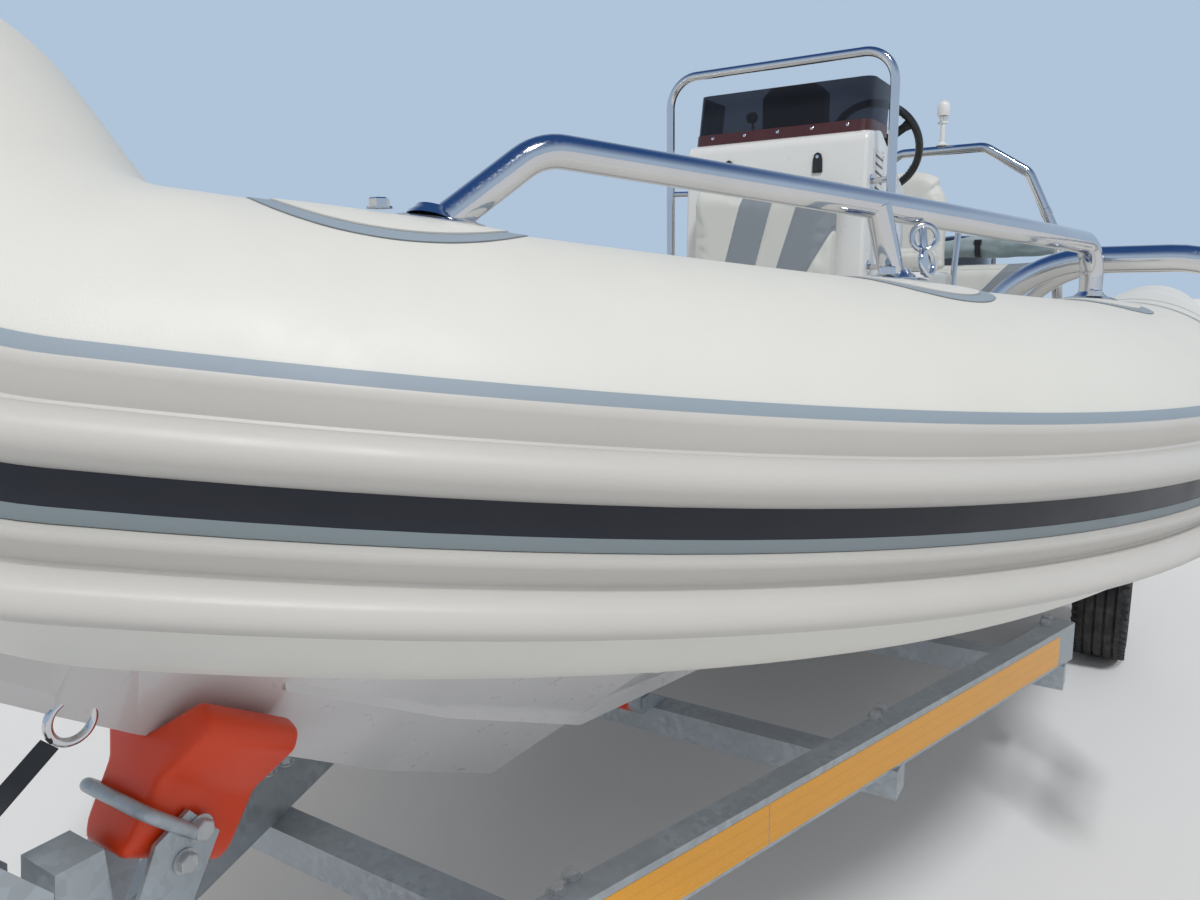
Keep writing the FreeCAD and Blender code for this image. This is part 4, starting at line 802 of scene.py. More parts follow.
def pad_layer(bm, distance, half_long, half_wide, thick, material):
    """One oval layer wrapped on the port tube's crest, with its edge turned down to the skin."""
    made = bmesh.ops.create_grid(bm, x_segments=36, y_segments=16, size=1.0)
    for vert in made["verts"]:
        reach = max(abs(vert.co.x), abs(vert.co.y))
        turn = math.atan2(vert.co.y, vert.co.x)
        along, across = reach * math.cos(turn) * half_long, reach * math.sin(turn) * half_wide
        vert.co = on_tube(distance + along, math.pi / 2 - across / TUBE_RADIUS,
                          SKIN + thick * (1 - 0.4 * reach ** 6))
    verts = set(made["verts"])
    for face in {face for vert in verts for face in vert.link_faces}:
        face.material_index = material
    rim = list({edge for vert in verts for edge in vert.link_edges if edge.is_boundary})
    wall = bmesh.ops.extrude_edge_only(bm, edges=rim)["geom"]
    centre, turn = path_place(distance)
    ahead = turn @ vec(1, 0, 0)
    for vert in verts_of(wall):
        axis, _ = path_place(distance + (vert.co - centre).dot(ahead))
        vert.co = axis + (vert.co - axis).normalized() * (SKIN - 0.0002)
    for part in wall:
        if isinstance(part, bmesh.types.BMFace):
            part.material_index = material


class RailPads(bpy.types.Operator):
    """The oval pads glued to the tubes under the handrails' feet"""
    bl_idname = "boat.rail_pads"
    bl_label = "Rail pads"

    def execute(self, context):
        size = settings().tube
        bm = bmesh.new()
        for station, share in ((BOW_AT - 0.150, 1.0), (BOW_AT - 0.731, 0.86), (BOW_AT - 1.275, 0.80)):
            distance = distance_at(station)
            half_long, half_wide = size.patch_long * share / 2, size.patch_wide * share / 2
            rim, line = size.patch_ring, 0.0012
            for inset, thick, material in ((-line, 0.0008, 2), (0, 0.0014, 1), (rim, 0.0020, 2),
                                           (rim + line, 0.0046, 0)):
                pad_layer(bm, distance, half_long - inset, half_wide - inset, thick, material)
        mirror_over(bm)
        settle(bm, "rail_pads", "tube", "tape", "grey", replaces=("rail_patches",), crease=50)
        return {"FINISHED"}


# Hull, deck, locker lid and transom.

KEEL = -0.700
SOLE_RISE, DECK_RISE = -0.150, 0.020
HULL_ROWS = (
    # station, keel rise, chine rise under the tubes' axis, how broad the spray rail is
    (TRANSOM_AT, KEEL, -0.360, 1.0), (0.0, KEEL, -0.350, 1.0), (BOW_AT - 1.177, KEEL, -0.315, 1.0),
    (BOW_AT - 0.777, KEEL + 0.005, -0.279, 0.95), (BOW_AT - 0.477, KEEL + 0.163, -0.227, 0.8),
    (BOW_AT - 0.227, KEEL + 0.321, -0.175, 0.6), (BOW_AT - 0.057, KEEL + 0.425, -0.148, 0.35),
)


def hull_place(row, share):
    """A place on the hull's bottom at one row, from the keel, 0, out to the chine, 1."""
    station, keel, chine, _ = row
    axis, _ = path_place(distance_at(station))
    side = (axis.y - 0.212) * 0.88
    low = axis.z - AXIS_Z + chine - 0.008
    return at(station, side * share, keel + (low - keel) * share)


class SprayRails(bpy.types.Operator):
    """The moulded spray rails under the hull"""
    bl_idname = "boat.spray_rails"
    bl_label = "Spray rails"

    def execute(self, context):
        bm = bmesh.new()
        for share, last in ((0.42, 6), (0.74, 7)):
            before = None
            for row in HULL_ROWS[:last]:
                inner, outer = hull_place(row, share - 0.075 * row[3]), hull_place(row, share)
                lift, drop = vec(0, 0, 0.003), vec(0, 0.002, -0.022 * row[3])
                edges = chain(bm, [inner + lift, outer + lift, outer + drop, outer + drop - vec(0, 0.008, 0)],
                              closed=True)
                if before:
                    bmesh.ops.bridge_loops(bm, edges=before + edges)
                else:
                    cap(bm, edges)
                before = edges
            cap(bm, before)
        mirror_over(bm)
        settle(bm, "spray_rails", "hull", crease=30)
        wear("hull", "hull")
        return {"FINISHED"}


class Deck(bpy.types.Operator):
    """Non-slip panels on the foredeck and floor, the locker's lid, and the transom's pad"""
    bl_idname = "boat.deck"
    bl_label = "Deck and locker lid"

    def execute(self, context):
        thin = (0, 0, 0.0035)
        lid_low, lid_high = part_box("locker_lid")
        sole_low, sole_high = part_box("sole")
        bm = bmesh.new()
        ahead, aft = lid_high.x + 0.03, lid_low.x - 0.035
        top = AXIS_Z + DECK_RISE - 0.001
        for side in (1, -1):
            edge = lid_high.y + 0.03
            corners = [vec(aft, side * edge, top), vec(aft, side * (edge + 0.33), top),
                       vec(aft + 0.25, side * (edge + 0.22), top), vec(ahead, side * (edge + 0.02), top),
                       vec(ahead, side * edge, top)]
            slab(bm, corners if side < 0 else corners[::-1], thin, 0.0012)
        slab(bm, [vec(ahead + 0.03, -0.19, top), vec(ahead + 0.03, 0.19, top),
                  vec(ahead + 0.19, 0.09, top), vec(ahead + 0.19, -0.09, top)], thin, 0.0012)
        for low, high in (((sole_low.x + 0.62, -0.26), (sole_low.x + 1.05, 0.26)),
                          ((sole_high.x - 0.55, -0.42), (sole_high.x - 0.08, 0.42))):
            block(bm, (low[0], low[1], sole_high.z - 0.001), (high[0], high[1], sole_high.z + 0.0025), 0.0012)
        settle(bm, "deck_panels", "non_slip")
        wear("gelcoat", "foredeck", "transom", "console", "front_seat_base", "helm_seat_base", "rear_bench")
        wear("non_slip", "sole")

        bm = bmesh.new()
        block(bm, lid_low, lid_high, 0.009, 3)
        settle(bm, "locker_lid_shell", "gelcoat", body="locker_lid", replaces=("locker_lid",))
        bm = bmesh.new()
        block(bm, (lid_low.x + 0.035, lid_low.y + 0.035, lid_high.z - 0.002),
              (lid_high.x - 0.035, lid_high.y - 0.035, lid_high.z + 0.0012), 0.001)
        settle(bm, "locker_lid_tread", "non_slip", body="locker_lid")
        bm = bmesh.new()
        for side in (-0.11, 0.11):
            block(bm, (lid_low.x + 0.004, side - 0.028, lid_high.z - 0.002),
                  (lid_low.x + 0.030, side + 0.028, lid_high.z + 0.002), 0.001)
            for step in (-0.016, 0.016):
                hex_bolt(bm, (lid_low.x + 0.018, side + step, lid_high.z + 0.002), (0, 0, 1), 0.006, 0.002)
        stud(bm, [(0, 0.030), (0.003, 0.030), (0.004, 0.026), (0.001, 0.020)],
             (lid_high.x - 0.075, 0, lid_high.z), (0, 0, 1), 32)
        settle(bm, "locker_lid_latch", "steel", body="locker_lid")

        bm = bmesh.new()
        notch = TRANSOM_LOW.x
        block(bm, (notch + 0.0585, -0.20, AXIS_Z - 0.32), (notch + 0.066, 0.20, AXIS_Z - 0.085), 0.004, 2)
        for side in (-0.15, -0.05, 0.05, 0.15):
            for drop in (0.12, 0.28):
                hex_bolt(bm, (notch + 0.066, side, AXIS_Z - drop), (1, 0, 0), 0.014, 0.006)
        settle(bm, "transom_pad", "black")
        return {"FINISHED"}


# Stainless work: handrails, boarding ladders and stern arch.

FRONT_FOOT, RAIL_CORNER = BOW_AT - 0.204, BOW_AT - 0.297
MID_FOOT, REAR_FOOT = BOW_AT - 0.727, BOW_AT - 1.297
RAIL_RISE, FOOT_LIFT = 0.100, 0.0056


def foot_plate(bm, station, leg, radius, ahead):
    """A thin plate pressed to the pad, the flare where the leg meets it, and the bolt ahead of it."""
    pad_layer(bm, distance_at(station + ahead / 2 - 0.006), ahead / 2 + 0.028, 0.046, 0.0098, 0)
    stud(bm, [(-0.003, radius + 0.009), (0.001, radius + 0.007), (0.005, radius + 0.002),
              (0.010, radius - 0.001)], over_crest(station, 0.0098), (leg[0] * 0.3, 0, leg[2]), 36)
    hex_bolt(bm, over_crest(station + ahead, 0.0090) + vec(0.004, 0.018, 0), (0, 0, 1), 0.019, 0.009)


def shackle(bm, foot):
    """Two linked rings and their pin, beside a leg's foot."""
    middle = foot + vec(-0.026, 0.030, 0.040)
    for shift, turn in ((vec(0, 0, 0.016), 0.5), (vec(0.004, 0.006, -0.018), 1.35)):
        facing = vec(math.cos(turn), math.sin(turn), 0.2).normalized()
        here = middle + shift
        spoke = facing.orthogonal()
        wire = ring(bm, here + spoke.normalized() * 0.017, facing.cross(spoke), 0.0042, 12)
        spun(bm, wire, here, facing, 28)
    rod(bm, middle + vec(-0.004, -0.004, 0.030), middle + vec(0.004, 0.004, -0.034), 0.006, 16, 0.002)


class Handrails(bpy.types.Operator):
    """The polished handrails over the tubes, with their foot plates, bolts and shackles"""
    bl_idname = "boat.handrails"
    bl_label = "Handrails"

    def execute(self, context):
        radius = settings().steel.rail / 2
        steps = [RAIL_CORNER + share * (REAR_FOOT - RAIL_CORNER) for share in (0.0, 0.25, 0.5, 0.75, 1.0)]
        points = [over_crest(FRONT_FOOT, -0.006)]
        points += [over_crest(station, RAIL_RISE) for station in steps] + [over_crest(REAR_FOOT, -0.006)]
        for side, name in ((1, "port"), (-1, "starboard")):
            bm = bmesh.new()
            bent_tube(bm, points, radius, (0.070, 1.7, 1.7, 1.7, 0.060), 28)
            rod(bm, over_crest(MID_FOOT, -0.006), over_crest(MID_FOOT + 0.035, RAIL_RISE), radius * 0.9, 24)
            foot_plate(bm, FRONT_FOOT, points[1] - points[0], radius, 0.046)
            foot_plate(bm, MID_FOOT, (0.035, 0, RAIL_RISE), radius, 0.036)
            foot_plate(bm, REAR_FOOT, (0, 0, 1), radius, 0.036)
            shackle(bm, over_crest(MID_FOOT, FOOT_LIFT))
            if side < 0:
                bmesh.ops.scale(bm, verts=bm.verts, vec=(1, -1, 1))
            settle(bm, f"rail_{name}", "steel", replaces=(f"handrail_{name}",), crease=40)
        return {"FINISHED"}


LADDER_AT, LADDER_WIDE = BOW_AT - 1.537, 0.330
ARCH_AT = -3.000


class Ladders(bpy.types.Operator):
    """The boarding ladders hooked over the tubes, with grooved treads on their rungs"""
    bl_idname = "boat.ladders"
    bl_label = "Boarding ladders"

    def execute(self, context):
        radius = settings().steel.ladder / 2
        inner = TUBE_RADIUS + radius + 0.003
        outer = inner + settings().tube.strake_proud
        bm = bmesh.new()
        axes = [path_place(distance_at(station))[0] for station in (LADDER_AT, LADDER_AT - LADDER_WIDE)]
        for axis in axes:
            foot = vec(axis.x, axis.y - inner, AXIS_Z + SOLE_RISE + 0.0003)
            top = TUBE_RADIUS + 0.085
            bent_tube(bm, [foot, axis + vec(0, -inner, top), axis + vec(0, outer, top),
                           axis + vec(0, outer, -0.420)], radius, (0.230, 0.240), 28)
            stud(bm, [(0, radius + 0.020), (0.004, radius + 0.020), (0.006, radius + 0.006),
                      (0.014, radius)], foot, (0, 0, 1), 32)
            turned(bm, [(-0.003, 0.0), (-0.003, radius - 0.002), (0.0, radius + 0.0005),
                        (0.012, radius + 0.0005), (0.014, 0.0)], axis + vec(0, outer, -0.420), (0, 0, 1), 28)
        rungs = bmesh.new()
        for drop in (0.260, 0.395):
            ends = [axis + vec(0, outer, -drop) for axis in axes]
            rod(bm, ends[0], ends[1], 0.016, 24)
            along = (ends[1] - ends[0]).normalized()
            outline = [(0.030, 0.0135)]
            for groove in range(9):
                start = 0.034 + groove * 0.029
                outline += [(start, 0.0185), (start + 0.020, 0.0185), (start + 0.022, 0.0168),
                            (start + 0.027, 0.0168)]
            outline += [(0.296, 0.0135)]
            turned(rungs, outline, ends[0], along, 24)
        mirror_over(bm)
        mirror_over(rungs)
        settle(bm, "ladder_rails", "steel", replaces=("boarding_ladders",), crease=40)
        settle(rungs, "ladder_treads", "black")
        return {"FINISHED"}


class Arch(bpy.types.Operator):
    """The stern arch with its feet and collars, and the white light fitting on its top"""
    bl_idname = "boat.stern_arch"
    bl_label = "Stern arch"

    def execute(self, context):
        radius = settings().steel.arch / 2
        half = [(ARCH_AT - 0.120, 0.640, SOLE_RISE), (ARCH_AT, 0.590, 0.520), (ARCH_AT, 0.443, 0.838),
                (ARCH_AT, 0.218, 0.985)]
        points = [at(*place) for place in half] + [at(a, -b, c) for a, b, c in reversed(half)]
        bm = bmesh.new()
        bent_tube(bm, points, radius, (0.200, 0.090, 0.090, 0.090, 0.090, 0.200), 28)
        for foot, knee, shoulder in (points[:3], points[:-4:-1]):
            turned(bm, [(0, 0.0), (0, 0.024), (0.005, 0.024), (0.012, 0.0)], foot + vec(0, 0, 0.0004),
                   (0, 0, 1), 24)
            along = (shoulder - knee).normalized()
            stud(bm, [(-0.010, radius), (-0.008, radius + 0.002), (0.030, radius + 0.002), (0.032, radius)],
                 knee + along * 0.11, along, 28)
        settle(bm, "arch_rail", "steel", replaces=("stern_arch",), crease=40)

        low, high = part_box("arch_light")
        centre = vec(BOW_X + ARCH_AT, 0, 0)
        bm = bmesh.new()
        base = low.z
        turned(bm, [(0, 0.0), (0, 0.029), (0.006, 0.029), (0.012, 0.020), (0.020, 0.013), (0.110, 0.012),
                    (0.116, 0.017), (0.124, 0.017), (0.128, 0.012), (0.140, 0.012), (0.146, 0.022),
                    (0.150, 0.024), (0.154, 0.0)], centre + vec(0, 0, base), (0, 0, 1), 36)
        for turn in range(3):
            spot = centre + Quaternion((0, 0, 1), 2.1 * turn) @ vec(0.021, 0, base)
            rod(bm, spot + vec(0, 0, 0.124), spot + vec(0, 0, 0.150), 0.0022, 10)
        rod(bm, centre + vec(0, -0.027, base + 0.119), centre + vec(0, 0.027, base + 0.119), 0.006, 16, 0.002)
        settle(bm, "arch_light_stalk", "white", replaces=("arch_light",))
        bm = bmesh.new()
        tall = high.z - base
        turned(bm, [(0.154, 0.0), (0.154, 0.031), (0.160, 0.033), (0.205, 0.033), (0.222, 0.027),
                    (tall - 0.003, 0.010), (tall - 0.0005, 0.0)], centre + vec(0, 0, base), (0, 0, 1), 36)
        settle(bm, "arch_light_cap", "white", crease=60)
        return {"FINISHED"}


# Console, windscreen, hoop, wheel, throttle and plotter.

CONSOLE_AT, CONSOLE_HALF = -0.520, 0.305
CONSOLE_BACK = CONSOLE_AT - 0.500
CONSOLE_TOP, DASH_TOP, SCREEN_TOP = 0.752, 0.768, 0.920
HELM_SIDE = 0.148


def side_slab(bm, outline, half, soften, segments=3):
    """A moulding from its side outline of (station, rise) points, as wide as twice its half width."""
    slab(bm, [at(station, -half, rise) for station, rise in outline], (0, 2 * half, 0), soften, segments)


class Console(bpy.types.Operator):
    """The steering console's moulding, its louvres, latches and dash"""
    bl_idname = "boat.console"
    bl_label = "Console"

    def execute(self, context):
        front, back = CONSOLE_AT, CONSOLE_BACK
        bm = bmesh.new()
        side_slab(bm, [(front + 0.030, SOLE_RISE), (front, CONSOLE_TOP - 0.020), (front - 0.020, CONSOLE_TOP),
                       (front - 0.150, DASH_TOP), (back + 0.020, DASH_TOP - 0.170),
                       (back + 0.020, DASH_TOP - 0.350), (back + 0.070, DASH_TOP - 0.400),
                       (back + 0.070, SOLE_RISE)], CONSOLE_HALF, 0.020, 4)
        settle(bm, "console_moulding", "gelcoat", replaces=("console",), crease=50)

        bm, plates = bmesh.new(), bmesh.new()
        for side in (1, -1):
            flank = CONSOLE_HALF * side
            for step in range(7):
                slope = 0.0030 * step
                low = at(front - 0.158 + slope, flank - 0.0015 * side, CONSOLE_TOP - 0.079 - 0.024 * step)
                rod(bm, low, low + vec(0.085 - slope, 0, 0.010), 0.0065, 14, 0.003)
            low = at(front - 0.172, flank - (0.001 if side > 0 else 0.0035), CONSOLE_TOP - 0.255)
            block(plates, low, low + vec(0.112, 0.0045, 0.205), 0.002)
            for along in (0.010, 0.102):
                for up in (0.012, 0.193):
                    spot = low + vec(along, 0.0045 if side > 0 else 0.0, up)
                    hex_bolt(plates, spot, (0, side, 0), 0.006, 0.002)
        settle(bm, "console_louvres", "satin_black", crease=60)
        settle(plates, "louvre_plates", "white")

        bm, studs = bmesh.new(), bmesh.new()
        for side in (-0.150, 0.150):
            foot = at(front - 0.0005, side, CONSOLE_TOP - 0.118)
            outline = [foot + vec(0, a, b) for a, b in
                       ((-0.016, 0.0), (0.016, 0.0), (0.015, 0.040), (0.011, 0.056), (0.0, 0.062),
                        (-0.011, 0.056), (-0.015, 0.040))]
            slab(bm, outline, (0.010, 0, 0), 0.0028, 2)
            turned(studs, [(0, 0.0), (0, 0.0055), (0.0022, 0.005), (0.0030, 0.0)],
                   at(front + 0.0085, side, CONSOLE_TOP - 0.070), (1, 0, 0), 20)
        settle(bm, "console_latches", "satin_black", crease=60)
        settle(studs, "latch_studs", "steel")

        # Dials and switches on the sloping dash.
        bm = bmesh.new()
        slope = vec(-0.330, 0, -0.170).normalized()
        facing = vec(slope.z, 0, -slope.x)
        middle = at(front - 0.315, 0, DASH_TOP - 0.085)
        for side, along, radius in ((HELM_SIDE, -0.075, 0.042), (0.045, -0.095, 0.030),
                                    (0.045, -0.020, 0.030)):
            stud(bm, [(-0.006, radius), (0.004, radius), (0.007, radius - 0.004), (0.006, radius - 0.007),
                      (0.003, radius - 0.008)], middle + vec(0, side, 0) + slope * along, facing, 36)
        settle(bm, "dash_dials", "satin_black")
        bm = bmesh.new()
        for step in range(5):
            turned(bm, [(-0.004, 0.0), (-0.004, 0.011), (0.003, 0.011), (0.004, 0.007), (0.010, 0.005),
                        (0.013, 0.003), (0.0135, 0.0)],
                   middle + vec(0, -0.045 - 0.032 * step, 0) + slope * 0.055, facing, 18)
        settle(bm, "dash_switches", "black")
        return {"FINISHED"}


class Screen(bpy.types.Operator):
    """The smoked windscreen with its brown foot strip and screws, and the hoop round it"""
    bl_idname = "boat.windscreen"
    bl_label = "Windscreen and hoop"

    def execute(self, context):
        front = CONSOLE_AT
        half = CONSOLE_HALF - 0.008
        low, lean = DASH_TOP - 0.026, vec(-0.040, 0, SCREEN_TOP - DASH_TOP + 0.026)
        plan = [(-0.230, half), (-0.058, half), (-0.044, half - 0.006), (-0.034, half - 0.016),
                (-0.030, half - 0.032)]
        plan += [(along, -side) for along, side in reversed(plan)]
        for name, finish, replaced, start, end, inset, thick in (
                ("screen_sheet", "acrylic", ("windscreen",), 0.20, 1.0, 0.0035, 0.005),
                ("screen_foot_strip", "foot_strip", (), 0.06, 0.265, 0.0008, 0.0015)):
            bm = bmesh.new()
            edges = chain(bm, [at(front + along - inset, side * (1 - inset / half), low) + lean * start
                               for along, side in plan])
            push(bm, edges, lean * (end - start))
            bmesh.ops.recalc_face_normals(bm, faces=bm.faces)
            bmesh.ops.solidify(bm, geom=bm.faces[:], thickness=thick)
            settle(bm, name, finish, replaces=replaced)
        bm = bmesh.new()
        for step in (-0.86, -0.43, 0.0, 0.43, 0.86):
            turned(bm, [(-0.001, 0.0), (-0.001, 0.0055), (0.0015, 0.0052), (0.003, 0.003), (0.0032, 0.0)],
                   at(front - 0.030, step * (half - 0.032), low) + lean * 0.19, (1, 0, 0.1), 16)
        settle(bm, "screen_screws", "steel")

        radius = settings().steel.hoop / 2
        middle, side, top = front - radius, 0.374, 0.976
        bottom = CONSOLE_TOP - 0.450
        bm = bmesh.new()
        bent_tube(bm, [at(middle, side, bottom), at(middle, side, top), at(middle, -side, top),
                       at(middle, -side, bottom)], radius, (0.095, 0.095), 28)
        for hand in (1, -1):
            for rise in (bottom + 0.040, bottom + 0.300):
                rod(bm, at(middle - 0.036, hand * (CONSOLE_HALF - 0.010), rise),
                    at(middle, hand * side, rise), 0.009, 18)
                stud(bm, [(0, 0.024), (0.004, 0.023), (0.006, 0.012)],
                     at(middle - 0.036, hand * (CONSOLE_HALF - 0.002), rise), (0, hand, 0), 24)
        settle(bm, "hoop_rail", "steel", replaces=("console_hoop",), crease=40)
        return {"FINISHED"}


class Helm(bpy.types.Operator):
    """The steering wheel, its hub, the throttle box with its lever, and the plotter"""
    bl_idname = "boat.helm"
    bl_label = "Helm"

    def execute(self, context):
        self.wheel()
        self.throttle()
        self.plotter()
        return {"FINISHED"}

    def wheel(self):
        tilt = math.radians(25)
        axis = vec(-math.cos(tilt), 0, math.sin(tilt))
        centre = at(-1.150, HELM_SIDE, 0.779)
        rim, bumps = 0.161, 72
        bm = bmesh.new()
        spoke = vec(0, 1, 0)
        spun(bm, ring(bm, centre + spoke * rim, axis.cross(spoke), 0.0138, 20), centre, axis, 72)
        for bump in range(bumps):
            if bump % 24 in range(6, 16):
                outward = Quaternion(axis, 2 * math.pi * (bump + 0.5) / bumps) @ spoke
                grip = centre + outward * (rim - 0.0132)
                rod(bm, grip - outward * 0.002, grip + outward * 0.002, 0.005, 10, 0.0015)
        settle(bm, "wheel_rim_grip", "satin_black", body="helm_wheel", replaces=("helm_wheel",), crease=60)
        bm = bmesh.new()
        turned(bm, [(-0.026, 0.0), (-0.026, 0.030), (-0.016, 0.040), (0.004, 0.040), (0.008, 0.036),
                    (0.0095, 0.028), (0.0090, 0.0)], centre, axis, 40)
        for turn in (90, 210, 330):
            arm = Quaternion(axis, math.radians(turn)) @ spoke
            across = axis.cross(arm)
            rows = []
            for share, wide, deep in ((0.18, 0.024, 0.006), (0.45, 0.016, 0.005), (0.80, 0.015, 0.005),
                                      (0.99, 0.022, 0.006)):
                here = centre - axis * (0.008 - 0.006 * share) + arm * rim * share
                rows.append([here + across * a * wide + axis * b * deep for a, b in
                             ((-1, -0.5), (-0.8, 1), (0.8, 1), (1, -0.5), (0.8, -1), (-0.8, -1))])
            lofted(bm, rows)
        settle(bm, "wheel_spokes", "black", body="helm_wheel", crease=50)
        bm = bmesh.new()
        stud(bm, [(0, 0.020), (-0.014, 0.022), (-0.030, 0.032), (-0.045, 0.034), (-0.150, 0.034)],
             centre - axis * 0.0265, axis, 36)
        settle(bm, "wheel_hub", "black", replaces=("helm_hub",))

    def throttle(self):
        low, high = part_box("throttle")
        dash = AXIS_Z + DASH_TOP
        bm = bmesh.new()
        block(bm, (low.x + 0.004, low.y + 0.002, dash - 0.178), (low.x + 0.108, high.y - 0.002, dash - 0.020),
              0.014, 4)
        settle(bm, "throttle_box", "satin_black", replaces=("throttle",))
        pivot = vec(low.x + 0.060, (low.y + high.y) / 2, dash - 0.060)
        top = vec(high.x - 0.022, pivot.y, high.z - 0.022)
        bm = bmesh.new()
        rod(bm, pivot, top, 0.007, 20)
        stud(bm, [(-0.003, 0.022), (0.004, 0.022), (0.007, 0.016)], pivot + vec(0.012, 0, 0.040),
             (0.2, 0, 1), 28)
        settle(bm, "throttle_lever", "steel")
        bm = bmesh.new()
        turned(bm, [(-0.021, 0.0), (-0.021, 0.009), (-0.014, 0.017), (0, 0.0205), (0.012, 0.017),
                    (0.019, 0.008), (0.020, 0.0)], top, (0, 1, 0), 28)
        settle(bm, "throttle_knob", "black")

    def plotter(self):
        low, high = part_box("plotter")
        low.y, high.y, high.z = low.y + 0.032, high.y - 0.032, high.z + 0.042
        base = AXIS_Z + DASH_TOP - 0.008
        bm = bmesh.new()
        slab(bm, [vec(high.x, a, b) for a, b in
                  ((low.y + 0.004, base), (high.y - 0.004, base), (high.y, base + 0.020),
                   (high.y, high.z - 0.030), (high.y - 0.030, high.z), (low.y + 0.030, high.z),
                   (low.y, high.z - 0.030), (low.y, base + 0.020))], (low.x - high.x + 0.004, 0, 0), 0.008, 3)
        block(bm, (high.x - 0.046, -0.058, base - 0.085), (high.x - 0.018, 0.038, base + 0.006), 0.004, 2)
        settle(bm, "plotter_case", "black", replaces=("plotter",))
        bm = bmesh.new()
        block(bm, (low.x, low.y + 0.014, base + 0.014), (low.x + 0.006, high.y - 0.014, high.z - 0.014),
              0.0015)
        settle(bm, "plotter_face", "screen_face")
        bm = bmesh.new()
        for fin in range(9):
            rise = base + 0.024 + fin * 0.0105
            block(bm, (high.x - 0.003, low.y + 0.045, rise), (high.x - 0.0002, high.y - 0.045, rise + 0.004),
                  0.0008)
        settle(bm, "plotter_fins", "satin_black")


# Seats. Cushions are filled by cloth simulation, then seamed. The cover is a rolled sheet.

HELM_SEAT_AT, BENCH_AT = -1.850, -2.680


def limited(mesh, rest, reach, low, high):
    """Holds a filled skin's points within a reach of where they were, and within its own space."""
    for vert, start in zip(mesh.vertices, rest):
        moved = vert.co - start
        if moved.length > reach:
            moved = moved.normalized() * reach
        place = start + moved
        vert.co = [min(max(place[i], low[i]), high[i]) for i in range(3)]


def fill(piece, reach, voxel, low, high):
    """Fills a closed skin by cloth simulation, so that its faces crown between its edges."""
    scene = bpy.context.scene
    cells = piece.modifiers.new("cells", "REMESH")
    cells.mode = "VOXEL"
    cells.voxel_size = voxel
    mesh = bpy.data.meshes.new_from_object(piece.evaluated_get(bpy.context.evaluated_depsgraph_get()))
    piece.modifiers.clear()
    piece.data = mesh
    rest = [vert.co.copy() for vert in mesh.vertices]
    cloth = piece.modifiers.new("filling", "CLOTH")
    cloth.settings.use_pressure = True
    cloth.settings.uniform_pressure_force = 4
    cloth.settings.effector_weights.gravity = 0
    cloth.point_cache.frame_end = 20
    for frame_number in range(1, 21):
        scene.frame_set(frame_number)
    filled = bpy.data.meshes.new_from_object(piece.evaluated_get(bpy.context.evaluated_depsgraph_get()))
    piece.modifiers.clear()
    scene.frame_set(1)
    limited(filled, rest, reach, low, high)
    piece.data = filled


def sew(mesh, planes, low):
    """Seams: points near a plane are drawn in towards the pad's middle."""
    middle = sum((vert.co for vert in mesh.vertices), Vector()) / len(mesh.vertices)
    for vert, normal in [(vert, vert.normal.copy()) for vert in mesh.vertices]:
        for point, facing, width, depth in planes:
            gap = abs((vert.co - point).dot(facing))
            if gap < width and (vert.co - middle).dot(normal) > 0:
                vert.co -= normal * depth * (1 - gap / width) ** 1.5
        vert.co.z = max(vert.co.z, low)


def round_off(mesh, half, top, radius):
    """Rounds a backrest's upper corners, seen from ahead."""
    for vert in mesh.vertices:
        across, up = abs(vert.co.y) - (half - radius), vert.co.z - (top - radius)
        if across > 0 and up > 0:
            squeeze = max(across, up) / math.hypot(across, up)
            vert.co.y = math.copysign(half - radius + across * squeeze, vert.co.y)
            vert.co.z = top - radius + up * squeeze


def cushion(node_name, outline, half, material, planes, soften=0.030, corner=0.0, spare=0.0):
    """One pad: its side outline of (station, rise) points, as wide as twice its half width."""
    sizes = settings().seats
    low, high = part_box(node_name)
    bm = bmesh.new()
    side_slab(bm, outline, half, soften, 4)
    close_up(bm)
    pad = new_piece(bm, f"{node_name}_pad")
    proud = vec(0.006, 0.010 + spare, 0.012 + spare)
    fill(pad, sizes.swell, sizes.voxel, (low.x - 0.001, low.y - proud.y, low.z), high + proud)
    smooth = pad.modifiers.new("smooth", "SUBSURF")
    smooth.levels = smooth.render_levels = 1
    mesh = bpy.data.meshes.new_from_object(pad.evaluated_get(bpy.context.evaluated_depsgraph_get()))
    pad.modifiers.clear()
    pad.data = mesh
    if corner:
        round_off(mesh, half + sizes.swell * 0.6, max(vert.co.z for vert in mesh.vertices), corner)
    sew(mesh, planes, low.z)
    smoothed(mesh)
    mesh.materials.clear()
    mesh.materials.append(FINISH[material])
    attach(pad, BOAT)
    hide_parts(node_name)
    return pad


def seam(place, facing, width=0.006, depth=0.0035):
    return Vector(place), Vector(facing).normalized(), width, depth


